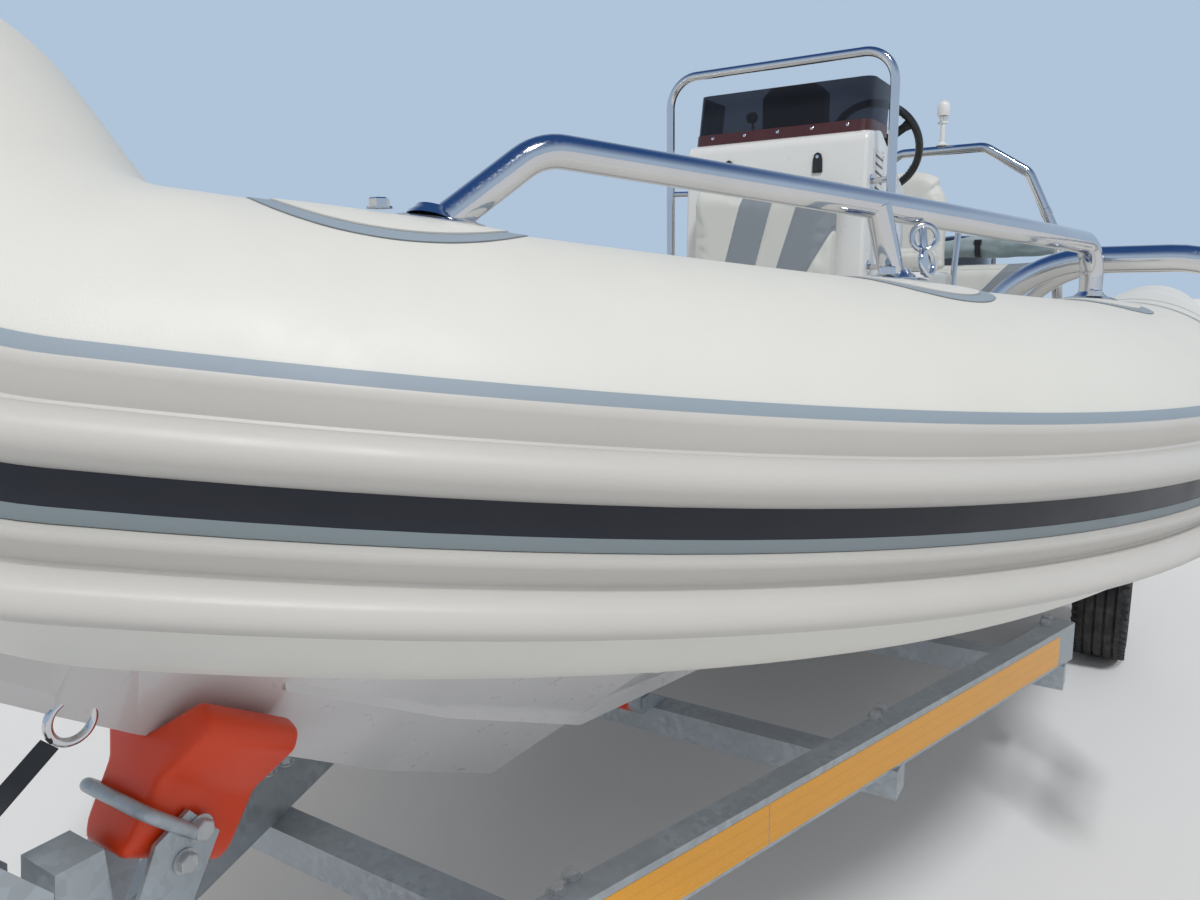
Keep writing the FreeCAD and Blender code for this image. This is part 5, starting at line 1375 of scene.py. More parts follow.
class Cushions(bpy.types.Operator):
    """The vinyl cushions and backrests, filled and seamed"""
    bl_idname = "boat.cushions"
    bl_label = "Cushions"

    def execute(self, context):
        out = settings().seats.swell
        low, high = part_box("front_cushion")
        cushion("front_cushion", self.flat(low, high, out), 0.245 - out * 0.6, "vinyl",
                [seam((0, 0, high.z - 0.014), (0, 0, 1)), seam((0, -0.10, 0), (0, 1, 0)),
                 seam((0, 0.10, 0), (0, 1, 0))])
        seat_back = CONSOLE_AT + 0.038
        base = 0.190 + 0.0003
        cushion("front_backrest", [(seat_back + 0.004, base), (seat_back + 0.080, base),
                                   (seat_back + 0.052, 0.582), (seat_back + 0.034, 0.608),
                                   (seat_back, 0.608)],
                0.258 - out * 0.6, "front_back_vinyl", corner=0.045, soften=0.026, spare=0.016, planes=[
                    seam((BOW_X, middle, AXIS_Z + 0.18), (0, 1, -lean))
                    for middle, lean in ((-0.154, 0.24), (-0.046, 0.24), (0.020, 0.30), (0.084, 0.54))])
        low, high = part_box("helm_cushion")
        cushion("helm_cushion", self.flat(low, high, out), 0.290 - out * 0.6, "vinyl",
                [seam((0, 0, high.z - 0.014), (0, 0, 1)), seam((0, -0.14, 0), (0, 1, 0)),
                 seam((0, 0.14, 0), (0, 1, 0))])
        helm = HELM_SEAT_AT
        low = 0.330 + 0.0003
        cushion("helm_backrest", [(helm - 0.058, low), (helm + 0.020, low), (helm + 0.016, low + 0.05),
                                  (helm - 0.022, 0.765), (helm - 0.050, 0.784), (helm - 0.078, 0.770)],
                0.290 - out * 0.6, "vinyl", corner=0.17, planes=[
                    seam((BOW_X + helm, 0, AXIS_Z + low + 0.26), (0.2, 0, 1)),
                    seam((BOW_X + helm - 0.055, 0, 0), (1, 0, 0.1))])
        low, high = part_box("rear_cushion")
        cushion("rear_cushion", self.flat(low, high, out), 0.575 - out * 0.6, "bench_vinyl",
                [seam((0, 0, high.z - 0.014), (0, 0, 1)), seam((0, 0, 0), (0, 1, 0))])
        bench = BENCH_AT
        low = 0.060 + 0.0003
        cushion("rear_backrest", [(bench + 0.012, low), (bench + 0.092, low), (bench + 0.066, 0.372),
                                  (bench + 0.050, 0.384), (bench + 0.012, 0.384)],
                0.575 - out * 0.6, "bench_back_vinyl",
                [seam((BOW_X + bench, 0, AXIS_Z + 0.34), (0, 0, 1)), seam((0, 0, 0), (0, 1, 0))], 0.026)
        return {"FINISHED"}

    def flat(self, low, high, out):
        """A seat cushion's side outline, from its solid's box."""
        near, far = low.x - BOW_X + out * 0.6, high.x - BOW_X - out * 0.6
        foot, top = low.z - AXIS_Z, high.z - AXIS_Z - out * 0.6
        return [(near, foot), (far, foot), (far + 0.002, foot + 0.03), (far, top - 0.012), (far - 0.03, top),
                (near + 0.02, top), (near, top - 0.012)]


class SeatFittings(bpy.types.Operator):
    """The helm seat's rail and the latches on the seats' mouldings"""
    bl_idname = "boat.seat_fittings"
    bl_label = "Seat fittings"

    def execute(self, context):
        helm, side = HELM_SEAT_AT, 0.312
        foot, top = 0.180, 0.600
        bm = bmesh.new()
        bent_tube(bm, [at(helm + 0.020, side, foot), at(helm - 0.110, side, top),
                       at(helm - 0.110, -side, top), at(helm + 0.020, -side, foot)],
                  0.013, (0.070, 0.070), 24)
        for hand in (1, -1):
            inner, outer, rosette = (at(helm + 0.017, hand * reach, foot + 0.010)
                                     for reach in (0.285, side, 0.290))
            rod(bm, inner, outer, 0.010, 18)
            stud(bm, [(0, 0.024), (0.004, 0.023), (0.006, 0.011)], rosette, (0, hand, 0), 24)
        settle(bm, "helm_rail", "steel", replaces=("helm_seat_rail",), crease=40)

        bm = bmesh.new()
        for front, rise, sides in ((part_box("front_seat_base")[1].x, AXIS_Z + 0.06, (-0.09, 0.09)),
                                   (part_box("rear_bench")[1].x, AXIS_Z - 0.02, (-0.30, 0.30))):
            for hand in sides:
                spot = vec(front, hand, rise)
                block(bm, spot - vec(0.002, 0.018, 0.022), spot + vec(0.004, 0.018, 0.022), 0.0015)
                block(bm, spot + vec(0.002, -0.008, -0.010), spot + vec(0.009, 0.008, 0.030), 0.002)
        settle(bm, "seat_latches", "steel")
        return {"FINISHED"}


def ruffle(place, size=1.0):
    """Soft uneven folds, the same on each run."""
    return noise.noise(place * 4.6) * 0.6 * size + noise.noise(place * 11.0 + vec(3, 1, 7)) * 0.3 * size


TIED_AT = (0.30, 0.72)


class Cover(bpy.types.Operator):
    """The rolled canvas cover, bundled on top of the stern bench's backrest"""
    bl_idname = "boat.cover"
    bl_label = "Rolled cover"

    def execute(self, context):
        low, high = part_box("cover_roll")
        middle = (low + high) / 2
        radius, long = 0.060, high.y - low.y
        turns, first, steps, rows = 2.35, 0.020, 96, 72
        bm = bmesh.new()
        spiral = []
        for step in range(steps + 1):
            share = step / steps
            angle = share * turns * 2 * math.pi
            reach = first + (radius - 0.006 - first) * share
            spiral.append(vec(middle.x + reach * math.cos(angle), low.y + 0.012,
                              middle.z + reach * math.sin(angle)))
        edges = chain(bm, spiral)
        for _ in range(rows):
            edges = push(bm, edges, vec(0, (long - 0.024) / rows, 0))
        for vert in bm.verts:
            along = (vert.co.y - low.y) / long
            off = vec(vert.co.x - middle.x, 0, vert.co.z - middle.z)
            share = off.length / radius
            pinch = 1 - 0.20 * sum(math.exp(-((along - tie) / 0.02) ** 2) for tie in TIED_AT)
            fold = 1 + (0.90 * ruffle(vec(vert.co.x * 2.4, vert.co.y * 1.1, vert.co.z * 2.4)) + 0.05) * share
            ends = 1 - 0.25 * max(0, abs(along - 0.5) * 2 - 0.9) * 10 * share * 0.4
            off *= min(1.16, pinch * fold * ends)
            off.z *= 0.97
            vert.co.x, vert.co.z = middle.x + off.x, middle.z + off.z
        bmesh.ops.recalc_face_normals(bm, faces=bm.faces)
        area = sum(face.calc_area() for face in bm.faces)
        cover = new_piece(bm, "cover_canvas")
        smoothed(cover.data)
        cover.data.materials.append(FINISH["canvas"])
        thick = cover.modifiers.new("cloth", "SOLIDIFY")
        thick.thickness = 0.0012
        thick.offset = 0
        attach(cover, BOAT)
        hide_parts("cover_roll")
        bm = bmesh.new()
        for share in TIED_AT:
            centre = vec(middle.x, low.y + long * share, middle.z)
            turned(bm, [(-0.013, 0.0475), (0.013, 0.0475), (0.013, 0.0495), (-0.013, 0.0495),
                        (-0.013, 0.0475)], centre, (0, 1, 0), 36)
            block(bm, centre + vec(0.040, -0.017, 0.018), centre + vec(0.052, 0.017, 0.040), 0.002)
        settle(bm, "cover_ties", "black", slot="strap_webbing")
        return {"FINISHED"}


# Outboard motor.

LEG_AT, SWIVEL_AT, PIN_AT = -3.590, -3.495, -3.385
GEAR_RISE, PLATE_RISE = -0.850, -0.620
LEG_FRONT, SWIVEL_TOP = SWIVEL_AT - 0.036, 0.006
COWL_HALF = 0.190


def oval(nose, tail, half, rise, blunt=2.4, lift=0.0):
    """A level ring round the motor: a rounded oval between two stations."""
    middle, reach = (nose + tail) / 2, (nose - tail) / 2
    points = []
    for step in range(32):
        turn = 2 * math.pi * step / 32
        along, across = math.cos(turn), math.sin(turn)
        size = (abs(along) ** blunt + abs(across) ** blunt) ** (-1 / blunt)
        points.append(at(middle + reach * along * size, half * across * size, rise + lift * along * size))
    return points


def cowl_rings(*rows):
    """Ovals from the leg's station: ahead of it, aft of it, half width, rise, bluntness and lift."""
    return [oval(LEG_AT + ahead, LEG_AT - aft, half, rise, *rest) for ahead, aft, half, rise, *rest in rows]


class Motor(bpy.types.Operator):
    """The outboard motor: bracket, swivel, leg, cowl and propeller"""
    bl_idname = "boat.motor"
    bl_label = "Outboard motor"

    def execute(self, context):
        self.bracket()
        self.leg()
        self.cowl()
        self.propeller()
        return {"FINISHED"}

    def bracket(self):
        wear("alloy", "motor_bracket")
        bm = bmesh.new()
        for side in (1, -1):
            for drop in (0.185, 0.265, 0.365):
                hex_bolt(bm, at(TRANSOM_AT - 0.022, side * 0.075, -drop), (-1, 0, 0), 0.017, 0.006)
            stud(bm, [(0, 0.017), (0.005, 0.017), (0.007, 0.012)], at(PIN_AT, side * 0.121, -0.020),
                 (0, side, 0), 24)
        settle(bm, "bracket_bolts", "steel")
        bm = bmesh.new()
        side_slab(bm, [(PIN_AT + 0.022, -0.044), (PIN_AT + 0.022, SWIVEL_TOP - 0.004),
                       (SWIVEL_AT - 0.020, SWIVEL_TOP - 0.001), (SWIVEL_AT - 0.020, -0.419),
                       (SWIVEL_AT + 0.026, -0.419), (SWIVEL_AT + 0.042, -0.110)], 0.086, 0.010)
        for rise in (-0.08, -0.20, -0.32):
            block(bm, at(SWIVEL_AT - 0.012, -0.0878, rise - 0.008),
                  at(SWIVEL_AT + 0.024, 0.0878, rise + 0.008), 0.004)
        settle(bm, "swivel_casting", "alloy", body="motor_swivel", replaces=("motor_swivel",))

    def leg(self):
        front = LEG_FRONT
        bm = bmesh.new()
        lofted(bm, [oval(nose, LEG_AT - aft, half, rise, blunt) for nose, aft, half, rise, blunt in (
            (front, 0.230, 0.088, 0.059, 2.4), (front, 0.225, 0.082, -0.10, 2.4),
            (front, 0.195, 0.070, -0.300, 2.4), (front, 0.170, 0.058, -0.430, 2.1),
            (front - 0.008, 0.150, 0.034, PLATE_RISE, 1.8),
            (front - 0.018, 0.132, 0.025, GEAR_RISE + 0.040, 1.7))])
        settle(bm, "motor_midsection", "motor", body="motor_leg", replaces=("motor_leg",), crease=55,
               subdivide=1)
        bm = bmesh.new()
        half = [(front - 0.008, 0), (front - 0.030, 0.045), (front - 0.080, 0.086), (LEG_AT - 0.150, 0.103),
                (LEG_AT - 0.300, 0.106), (LEG_AT - 0.328, 0.080)]
        outline = half + [(station, -side) for station, side in reversed(half[1:])]
        slab(bm, [at(station, side, PLATE_RISE) for station, side in outline], (0, 0, 0.012), 0.0035, 2)
        turned(bm, [(0.100, 0.0), (0.098, 0.010), (0.085, 0.024), (0.060, 0.036), (0.020, 0.048),
                    (-0.020, 0.052), (-0.120, 0.050), (-0.182, 0.045), (-0.189, 0.040), (-0.189, 0.0)],
               at(LEG_AT, 0, GEAR_RISE), (1, 0, 0), 40)
        side_slab(bm, [(LEG_AT + along, GEAR_RISE + rise) for along, rise in (
            (0.028, -0.034), (-0.168, -0.034), (-0.186, -0.185), (-0.178, -0.198), (-0.120, -0.198),
            (-0.060, -0.130))], 0.006, 0.004, 2)
        settle(bm, "gearcase", "motor", body="motor_leg", crease=45)
        bm = bmesh.new()
        for half, low, high in ((0.033, SWIVEL_TOP + 0.001, SWIVEL_TOP + 0.033), (0.029, -0.454, -0.421)):
            block(bm, at(front - 0.056, -half, low), at(SWIVEL_AT + 0.022, half, high), 0.006, 3)
        rod(bm, at(SWIVEL_AT, 0, -0.452), at(SWIVEL_AT, 0, SWIVEL_TOP + 0.030), 0.0155, 24, 0.003)
        settle(bm, "steering_arms", "alloy", body="motor_leg")
        bm = bmesh.new()
        for side in (1, -1):
            for slot in range(5):
                spot = at(LEG_AT + 0.018, side * 0.0245, GEAR_RISE + 0.060 + slot * 0.011)
                block(bm, spot - vec(0.030, 0.0015, 0.002), spot + vec(0.030, 0.0015, 0.002), 0.0009)
        settle(bm, "water_intake", "black", body="motor_leg")

    def cowl(self):
        half = COWL_HALF
        bm = bmesh.new()
        lofted(bm, cowl_rings(
            (0.188, 0.288, half * 0.82, 0.0606, 2.8), (0.205, 0.308, half * 0.93, 0.095, 3.0),
            (0.212, 0.322, half * 0.985, 0.150, 3.0), (0.210, 0.321, half * 0.985, 0.300, 2.9, 0.004),
            (0.200, 0.315, half * 0.965, 0.420, 2.8, 0.006), (0.168, 0.290, half * 0.86, 0.502, 2.6, 0.008),
            (0.120, 0.245, half * 0.68, 0.540, 2.4, 0.006), (0.060, 0.170, half * 0.40, 0.555, 2.2, 0.003)))
        settle(bm, "cowl_shell", "motor", body="motor_leg", replaces=("motor_cowl",), crease=60, subdivide=1)
        bm = bmesh.new()
        for rise, tall, out in ((0.128, 0.007, 0.0030), (0.345, 0.012, 0.0022)):
            inner = (0.208, 0.318, half * 0.975)
            outer = (0.2105 + out, 0.3205 + out, half * 0.983 + out)
            lofted(bm, cowl_rings((*inner, rise, 2.95), (*outer, rise + 0.001, 2.95),
                                  (*outer, rise + tall - 0.001, 2.95), (*inner, rise + tall, 2.95)))
        settle(bm, "cowl_seams", "satin_black", body="motor_leg", crease=50)
        bm = bmesh.new()
        for side in (1, -1):
            for slot in range(4):
                spot = at(LEG_AT - 0.235 + slot * 0.034, side * (half * 0.958), 0.398)
                block(bm, spot - vec(0.012, 0.0025, 0.022), spot + vec(0.012, 0.0020, 0.022), 0.0018)
        block(bm, at(LEG_AT - 0.3255, -0.040, 0.135), at(LEG_AT - 0.310, 0.040, 0.170), 0.005, 3)
        settle(bm, "cowl_vents", "satin_black", body="motor_leg")

    def propeller(self):
        start = LEG_AT - 0.1905
        bm = bmesh.new()
        stud(bm, [(0, 0.040), (-0.004, 0.044), (-0.100, 0.0445), (-0.119, 0.041), (-0.119, 0.034),
                  (-0.106, 0.030)], at(start, 0, GEAR_RISE), (1, 0, 0), 36)
        for turn in (0, 120, 240):
            spin = Matrix.Rotation(math.radians(turn), 4, "X")
            rings = []
            for reach, chord, pitch, shift in ((0.038, 0.034, 48, 0.0), (0.070, 0.050, 38, 0.002),
                                               (0.110, 0.062, 30, 0.006), (0.145, 0.056, 25, 0.010),
                                               (0.166, 0.036, 22, 0.013), (0.1735, 0.014, 21, 0.014)):
                tilt, row = math.radians(pitch), []
                for step in range(14):
                    angle = 2 * math.pi * step / 14
                    along, thick = chord * math.cos(angle), 0.0042 * math.sin(angle) * (1.25 - reach * 4)
                    row.append(at(start - 0.060, 0, GEAR_RISE) + spin @ vec(
                        along * math.sin(tilt) + thick * math.cos(tilt) - shift,
                        along * math.cos(tilt) - thick * math.sin(tilt), reach))
                rings.append(row)
            lofted(bm, rings)
        settle(bm, "propeller_blades", "prop", body="propeller", replaces=("propeller",), crease=40)


# Road trailer: frame, wheels, bow stand, winch, coupler, jockey wheel, rollers and lamps.

BEAM_LOW, BEAM_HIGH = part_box("winch_post")[0].z - 0.1103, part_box("winch_post")[0].z - 0.0003
BEAM_MID = (BEAM_LOW + BEAM_HIGH) / 2
SPREAD_AT, SPREAD_HALF, MEET_AT = -0.430, 0.940, BOW_AT + 0.573
RAIL_HALF, BEAM_HALF = 0.480, 0.0275
AXLE_X, TYRE_SIDE, TYRE_RADIUS = BOW_X - 1.450, 1.000, 0.300
POST_AT = BOW_AT + 0.063


def beam_side(station):
    """The distance from the centreline to a spreading beam's middle."""
    return 0.020 + max(0.0, MEET_AT - station) / (MEET_AT - SPREAD_AT) * (SPREAD_HALF - 0.020)


def low_place(station, side, height):
    return vec(BOW_X + station, side, height)


def keel(station):
    """The keel line's rise at a station, with the stem ahead of the hull's rows."""
    rows = [row[:2] for row in HULL_ROWS] + [(BOW_AT + 0.043, KEEL + 0.496)]
    for (near, low), (far, high) in zip(rows, rows[1:]):
        if station <= far:
            return low + (high - low) * (station - near) / (far - near)


class Frame(bpy.types.Operator):
    """The galvanised frame's reflective tape, bolts and end caps, its leaf springs and mudguards"""
    bl_idname = "boat.trailer_frame"
    bl_label = "Trailer frame"

    def execute(self, context):
        wear("zinc", "trailer_frame", "axle", "winch_body", "keel_rollers", "bunks", "jockey_fork")
        sizes = settings().trailer
        start = low_place(MEET_AT, beam_side(MEET_AT), BEAM_MID)
        end = low_place(SPREAD_AT, SPREAD_HALF, BEAM_MID)
        along = (end - start).normalized()
        out = vec(along.y, -along.x, 0)
        tall = vec(0, 0, sizes.tape_tall / 2)
        face = start + out * (BEAM_HALF - 0.0004) - vec(0, 0, 0.004)
        bm = bmesh.new()
        for near, far in ((0.36, 1.60), (1.602, 2.84)):
            slab(bm, [face + along * near - tall, face + along * far - tall, face + along * far + tall,
                      face + along * near + tall], out * 0.0012, 0.0004, 1)
        mirror_over(bm)
        settle(bm, "beam_tape", "amber")

        bm = bmesh.new()
        rows = [(station, beam_side(station) - 0.03) for station in (SPREAD_AT + 0.04, 0.400, BOW_AT - 0.527)]
        for station, side in rows + [(-2.990, RAIL_HALF), (SPREAD_AT + 0.04, RAIL_HALF)]:
            for shift in (-0.022, 0.022):
                hex_bolt(bm, low_place(station + shift, side, BEAM_HIGH - 0.0004), (0, 0, 1), sizes.bolt)
        for step in (0.10, 0.22):
            hex_bolt(bm, low_place(MEET_AT + step, 0.0397, BEAM_MID), (0, 1, 0), sizes.bolt)
        mirror_over(bm)
        settle(bm, "frame_bolts", "bright_zinc")

        bm = bmesh.new()
        wide, high = BEAM_HALF + 0.0006, (BEAM_HIGH - BEAM_LOW) / 2 + 0.0006
        for place, facing in ((end, along), (low_place(-3.050, RAIL_HALF, BEAM_MID), vec(-1, 0, 0))):
            across, base = vec(-facing.y, facing.x, 0), place - facing * 0.0005
            slab(bm, [base + across * a * wide + vec(0, 0, b * high) for a, b in
                      ((-1, -1), (1, -1), (1, 1), (-1, 1))], facing * 0.0045, 0.0016, 2)
        mirror_over(bm)
        settle(bm, "beam_end_caps", "bright_zinc")
        self.springs()
        self.mudguards()
        return {"FINISHED"}

    def springs(self):
        """Three leaves on each side, with their eye pins, and the plate and bolts that hold the axle."""
        bm = bmesh.new()
        for shift in (-0.036, 0.036):
            for hand in (-0.032, 0.032):
                foot = vec(AXLE_X + shift, RAIL_HALF + hand, 0.262)
                rod(bm, foot, foot + vec(0, 0, 0.088), 0.006, 14)
                hex_bolt(bm, foot, (0, 0, -1), 0.017, 0.008)
        seat = vec(AXLE_X, RAIL_HALF, 0.262)
        block(bm, seat - vec(0.055, 0.045, 0), seat + vec(0.055, 0.045, 0.010), 0.002)
        for reach, drop in ((0.285, 0.0), (0.215, -0.011), (0.140, -0.020)):
            row = []
            for step in range(17):
                share = step / 16 * 2 - 1
                rise = 0.3375 + drop * 0.35 + 0.009 * (share * reach / 0.285) ** 2
                row.append(vec(AXLE_X + reach * share, RAIL_HALF - 0.024, rise))
            edges = chain(bm, row + [place + vec(0, 0, 0.0062) for place in reversed(row)], closed=True)
            cap(bm, edges)
            cap(bm, push(bm, edges, vec(0, 0.048, 0)))
        for shift in (-0.2895, 0.2895):
            eye = vec(AXLE_X + shift, RAIL_HALF, 0.3425)
            rod(bm, eye - vec(0, 0.026, 0), eye + vec(0, 0.026, 0), 0.0065, 18)
        mirror_over(bm)
        settle(bm, "leaf_spring_packs", "spring", replaces=("leaf_springs",))

    def mudguards(self):
        """A rolled sheet over each tyre, on two stays from the side rails."""
        bm = bmesh.new()
        centre, lip = vec(AXLE_X, 0, TYRE_RADIUS), math.radians(22)
        outline = []
        for half in ([(-0.115, 0.350), (-0.115, 0.362), (-0.108, 0.366)],
                     [(0.1125, 0.350), (0.1125, 0.3605), (0.107, 0.3635)]):
            outline += half + [(-across, reach) for across, reach in reversed(half)]
        edges = chain(bm, [centre + vec(reach * math.cos(lip), TYRE_SIDE + across, reach * math.sin(lip))
                           for across, reach in outline], closed=True)
        cap(bm, edges)
        cap(bm, swing(bm, edges, centre, (0, -1, 0), math.pi - 2 * lip, 36))
        for hand in (1, -1):
            stay = centre + vec(hand * 0.336, 0, BEAM_MID + 0.035 - TYRE_RADIUS)
            block(bm, stay + vec(-0.015, RAIL_HALF + BEAM_HALF, -0.015), stay + vec(0.015, 1.112, 0.015),
                  0.003)
            for spot in (0.93, 1.07):
                hex_bolt(bm, (stay.x + hand * 0.004, spot, stay.z + 0.030), (hand, 0, 0.4), 0.014, 0.006)
        mirror_over(bm)
        settle(bm, "mudguard_sheets", "zinc", replaces=("mudguards",), crease=30)


def tread_outline(radius, half, inner, grooves, depth):
    """A tyre's section across it, as (distance across, radius), with grooves round its tread."""
    side = [(-half + 0.018, inner), (-half + 0.010, inner + 0.012), (-half + 0.001, inner + 0.045),
            (-half, inner + 0.075), (-half + 0.004, radius - 0.030), (-half + 0.012, radius - 0.012),
            (-half + 0.022, radius - 0.004)]
    tread = []
    for groove in range(grooves):
        middle = -half + 0.026 + 2 * (half - 0.026) / grooves * (groove + 0.5)
        crown = radius - 0.003 * (middle / half) ** 2
        tread += [(middle - 0.0045, crown), (middle - 0.0030, crown - depth),
                  (middle + 0.0030, crown - depth), (middle + 0.0045, crown)]
    return side + tread + [(-across, reach) for across, reach in reversed(side)]


def turned_block(bm, low, high, centre, turn):
    """A small box, turned about the boat's side axis and moved to a place."""
    spin = Quaternion((0, 1, 0), turn)
    made = block(bm, low, high)
    bmesh.ops.transform(bm, verts=made, matrix=Matrix.Translation(centre) @ spin.to_matrix().to_4x4())


class Wheels(bpy.types.Operator):
    """The trailer's tyres, rims, wheel nuts and hub caps"""
    bl_idname = "boat.trailer_wheels"
    bl_label = "Wheels"

    def execute(self, context):
        sizes = settings().trailer
        wear("wheel", "rim_port", "rim_starboard")
        tread = tread_outline(0.2995, 0.0895, 0.1722, sizes.grooves, sizes.tread_depth)
        for side, name in ((1, "port"), (-1, "starboard")):
            centre = vec(AXLE_X, side * TYRE_SIDE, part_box("tyre_port")[0].z + TYRE_RADIUS)
            axis = vec(0, side, 0)
            body = f"wheel_{name}"
            bm = bmesh.new()
            turned(bm, tread + tread[:1], centre, axis, 96)
            for lug in range(64):
                turn = 2 * math.pi * lug / 64
                spot = centre + Quaternion((0, 1, 0), turn) @ vec(0, 0, 0.2965)
                for hand in (1, -1):
                    turned_block(bm, (-0.0042, -0.010, -0.004), (0.0042, 0.010, 0.0005),
                                 spot + vec(0, hand * 0.0775, 0), turn)
            for bead in (0.205, 0.222):
                turned(bm, [(0.0850, bead - 0.002), (0.0900, bead - 0.001), (0.0900, bead + 0.001),
                            (0.0850, bead + 0.002)], centre, axis, 96)
            settle(bm, f"tyre_{name}_tread", "tyre", body=body, replaces=(f"tyre_{name}",))
            bm = bmesh.new()
            for nut in range(5):
                turn = 2 * math.pi * (nut + 0.5) / 5
                spot = centre + vec(0.066 * math.cos(turn), side * 0.0258, 0.066 * math.sin(turn))
                hex_bolt(bm, spot, axis, 0.019, 0.014)
            turned(bm, [(0.0395, 0.0), (0.0395, 0.028), (0.050, 0.0275), (0.0535, 0.022), (0.0545, 0.0)],
                   centre, axis, 32)
            settle(bm, f"wheel_nuts_{name}", "bright_zinc", body=body)
            bm = bmesh.new()
            lip = [(-0.076, 0.1725), (-0.076, 0.1775), (-0.073, 0.1785), (-0.070, 0.1725)]
            for outline in (lip, [(-across, reach) for across, reach in reversed(lip)]):
                turned(bm, outline, centre, axis, 72)
            valve = centre + vec(0.150, side * 0.026, 0)
            rod(bm, valve, valve + axis * 0.026, 0.004, 12, 0.001)
            settle(bm, f"rim_{name}_flanges", "wheel", body=body)
        return {"FINISHED"}


class BowStand(bpy.types.Operator):
    """The bow stand's post, its cast block with a retaining bar, and its bolts"""
    bl_idname = "boat.bow_stand"
    bl_label = "Bow stand"

    def execute(self, context):
        wear("zinc", "winch_post")
        wear("steel", "bow_eye")
        # The cast block follows the stem's slope.
        station = BOW_AT - 0.137
        slope = math.atan2(keel(station + 0.04) - keel(station - 0.04), 0.08)
        along, off = vec(math.cos(slope), 0, math.sin(slope)), vec(-math.sin(slope), 0, math.cos(slope))
        half = [(0.000, 0.006), (0.076, 0.066), (0.108, 0.054), (0.114, 0.026), (0.061, -0.044),
                (0.055, -0.122), (0.044, -0.146)]
        outline = half + [(-side, up) for side, up in reversed(half[1:])]
        under = at(station, 0, keel(station))
        bm = bmesh.new()
        slab(bm, [under - along * 0.082 + vec(0, side, 0) + off * up for side, up in outline],
             along * 0.164, 0.012, 4)
        settle(bm, "cast_block", "urethane", replaces=("bow_block",), crease=50)
        pin = under - off * 0.095
        bm = bmesh.new()
        reach, cheek = along * 0.094 + off * 0.014, vec(0, 0.0745, 0)
        bent_tube(bm, [pin + vec(0.01, 0.0745, 0), pin + reach + cheek, pin + reach - cheek,
                       pin + vec(0.01, -0.0745, 0)], 0.0095, (0.024, 0.024), 20)
        settle(bm, "block_retainer", "zinc")
        bm = bmesh.new()
        foot = low_place(POST_AT, 0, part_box("winch_post")[0].z + 0.0078)
        for hand in (1, -1):
            flank = hand * 0.0704
            hex_bolt(bm, pin + vec(0, flank, 0), (0, hand, 0), 0.026, 0.012)
            hex_bolt(bm, pin + vec(0.026, flank, -0.034), (0, hand, 0), 0.024, 0.011)
            for shift in (-0.015, 0.012):
                hex_bolt(bm, low_place(POST_AT + shift, flank, BEAM_HIGH + 0.075), (0, hand, 0), 0.024, 0.011)
            for shift in (-0.034, 0.034):
                hex_bolt(bm, foot + vec(shift, hand * beam_side(POST_AT), 0), (0, 0, 1), 0.020, 0.010)
        settle(bm, "stand_bolts", "bright_zinc")
        self.winch()
        return {"FINISHED"}

    def winch(self):
        """The drum with its ratchet and crank, the webbing wound on it and the strap to the bow eye."""
        centre = at(BOW_AT + 0.213, 0, -0.333)
        bm = bmesh.new()
        turned(bm, [(-0.060, 0.0), (-0.060, 0.011), (-0.0485, 0.011), (-0.0485, 0.041), (-0.0445, 0.0415),
                    (-0.0440, 0.026), (0.0440, 0.026), (0.0445, 0.0415), (0.0485, 0.041), (0.0485, 0.011),
                    (0.0955, 0.011), (0.0960, 0.0)], centre, (0, 1, 0), 40)
        for tooth in range(28):
            turned_block(bm, (-0.0024, 0.0446, 0.038), (0.0024, 0.0484, 0.0419), centre,
                         2 * math.pi * tooth / 28)
        near, far = centre + vec(0, 0.088, 0), centre + vec(0.145, 0.088, 0.092)
        arm = (far - near).normalized()
        across = vec(-arm.z, 0, arm.x)
        slab(bm, [place + arm * step + across * shift - vec(0, 0.0035, 0) for place, step, shift in
                  ((near, -0.006, 0.0115), (far, 0.006, 0.009), (far, 0.006, -0.009),
                   (near, -0.006, -0.0115))], (0, 0.007, 0), 0.0025, 2)
        settle(bm, "winch_reel", "bright_zinc", body="winch_drum", replaces=("winch_drum",))
        bm = bmesh.new()
        turned(bm, [(0.0, 0.0), (0.0, 0.012), (0.010, 0.0125), (0.045, 0.0138), (0.080, 0.0125),
                    (0.090, 0.0100), (0.094, 0.0)], far, (0, 1, 0), 28)
        settle(bm, "winch_grip", "black", body="winch_drum")

        bm = bmesh.new()
        steps, spiral = 120, []
        for step in range(steps + 1):
            share = step / steps
            turn = math.pi + share * 3.2 * 2 * math.pi
            reach = 0.0268 + 0.0085 * share
            spiral.append(centre + vec(reach * math.cos(turn), -0.0200, reach * math.sin(turn)))
        push(bm, chain(bm, spiral), vec(0, 0.040, 0))
        bmesh.ops.recalc_face_normals(bm, faces=bm.faces)
        bmesh.ops.solidify(bm, geom=bm.faces[:], thickness=0.0016)
        settle(bm, "winch_webbing", "webbing", body="winch_drum", crease=60)
        wear("webbing", "winch_strap")
        bm = bmesh.new()
        eye = at(BOW_AT + 0.023, 0, keel(BOW_AT + 0.023))
        towards = (centre - vec(0.0283, 0, 0) - eye).normalized()
        for shift in (0.045, 0.052, 0.059, 0.112, 0.119):
            spot = eye + towards * shift + vec(towards.z, 0, -towards.x) * 0.0012
            rod(bm, spot - vec(0, 0.017, 0), spot + vec(0, 0.017, 0), 0.0008, 6)
        settle(bm, "strap_stitching", "black", slot="strap_webbing")


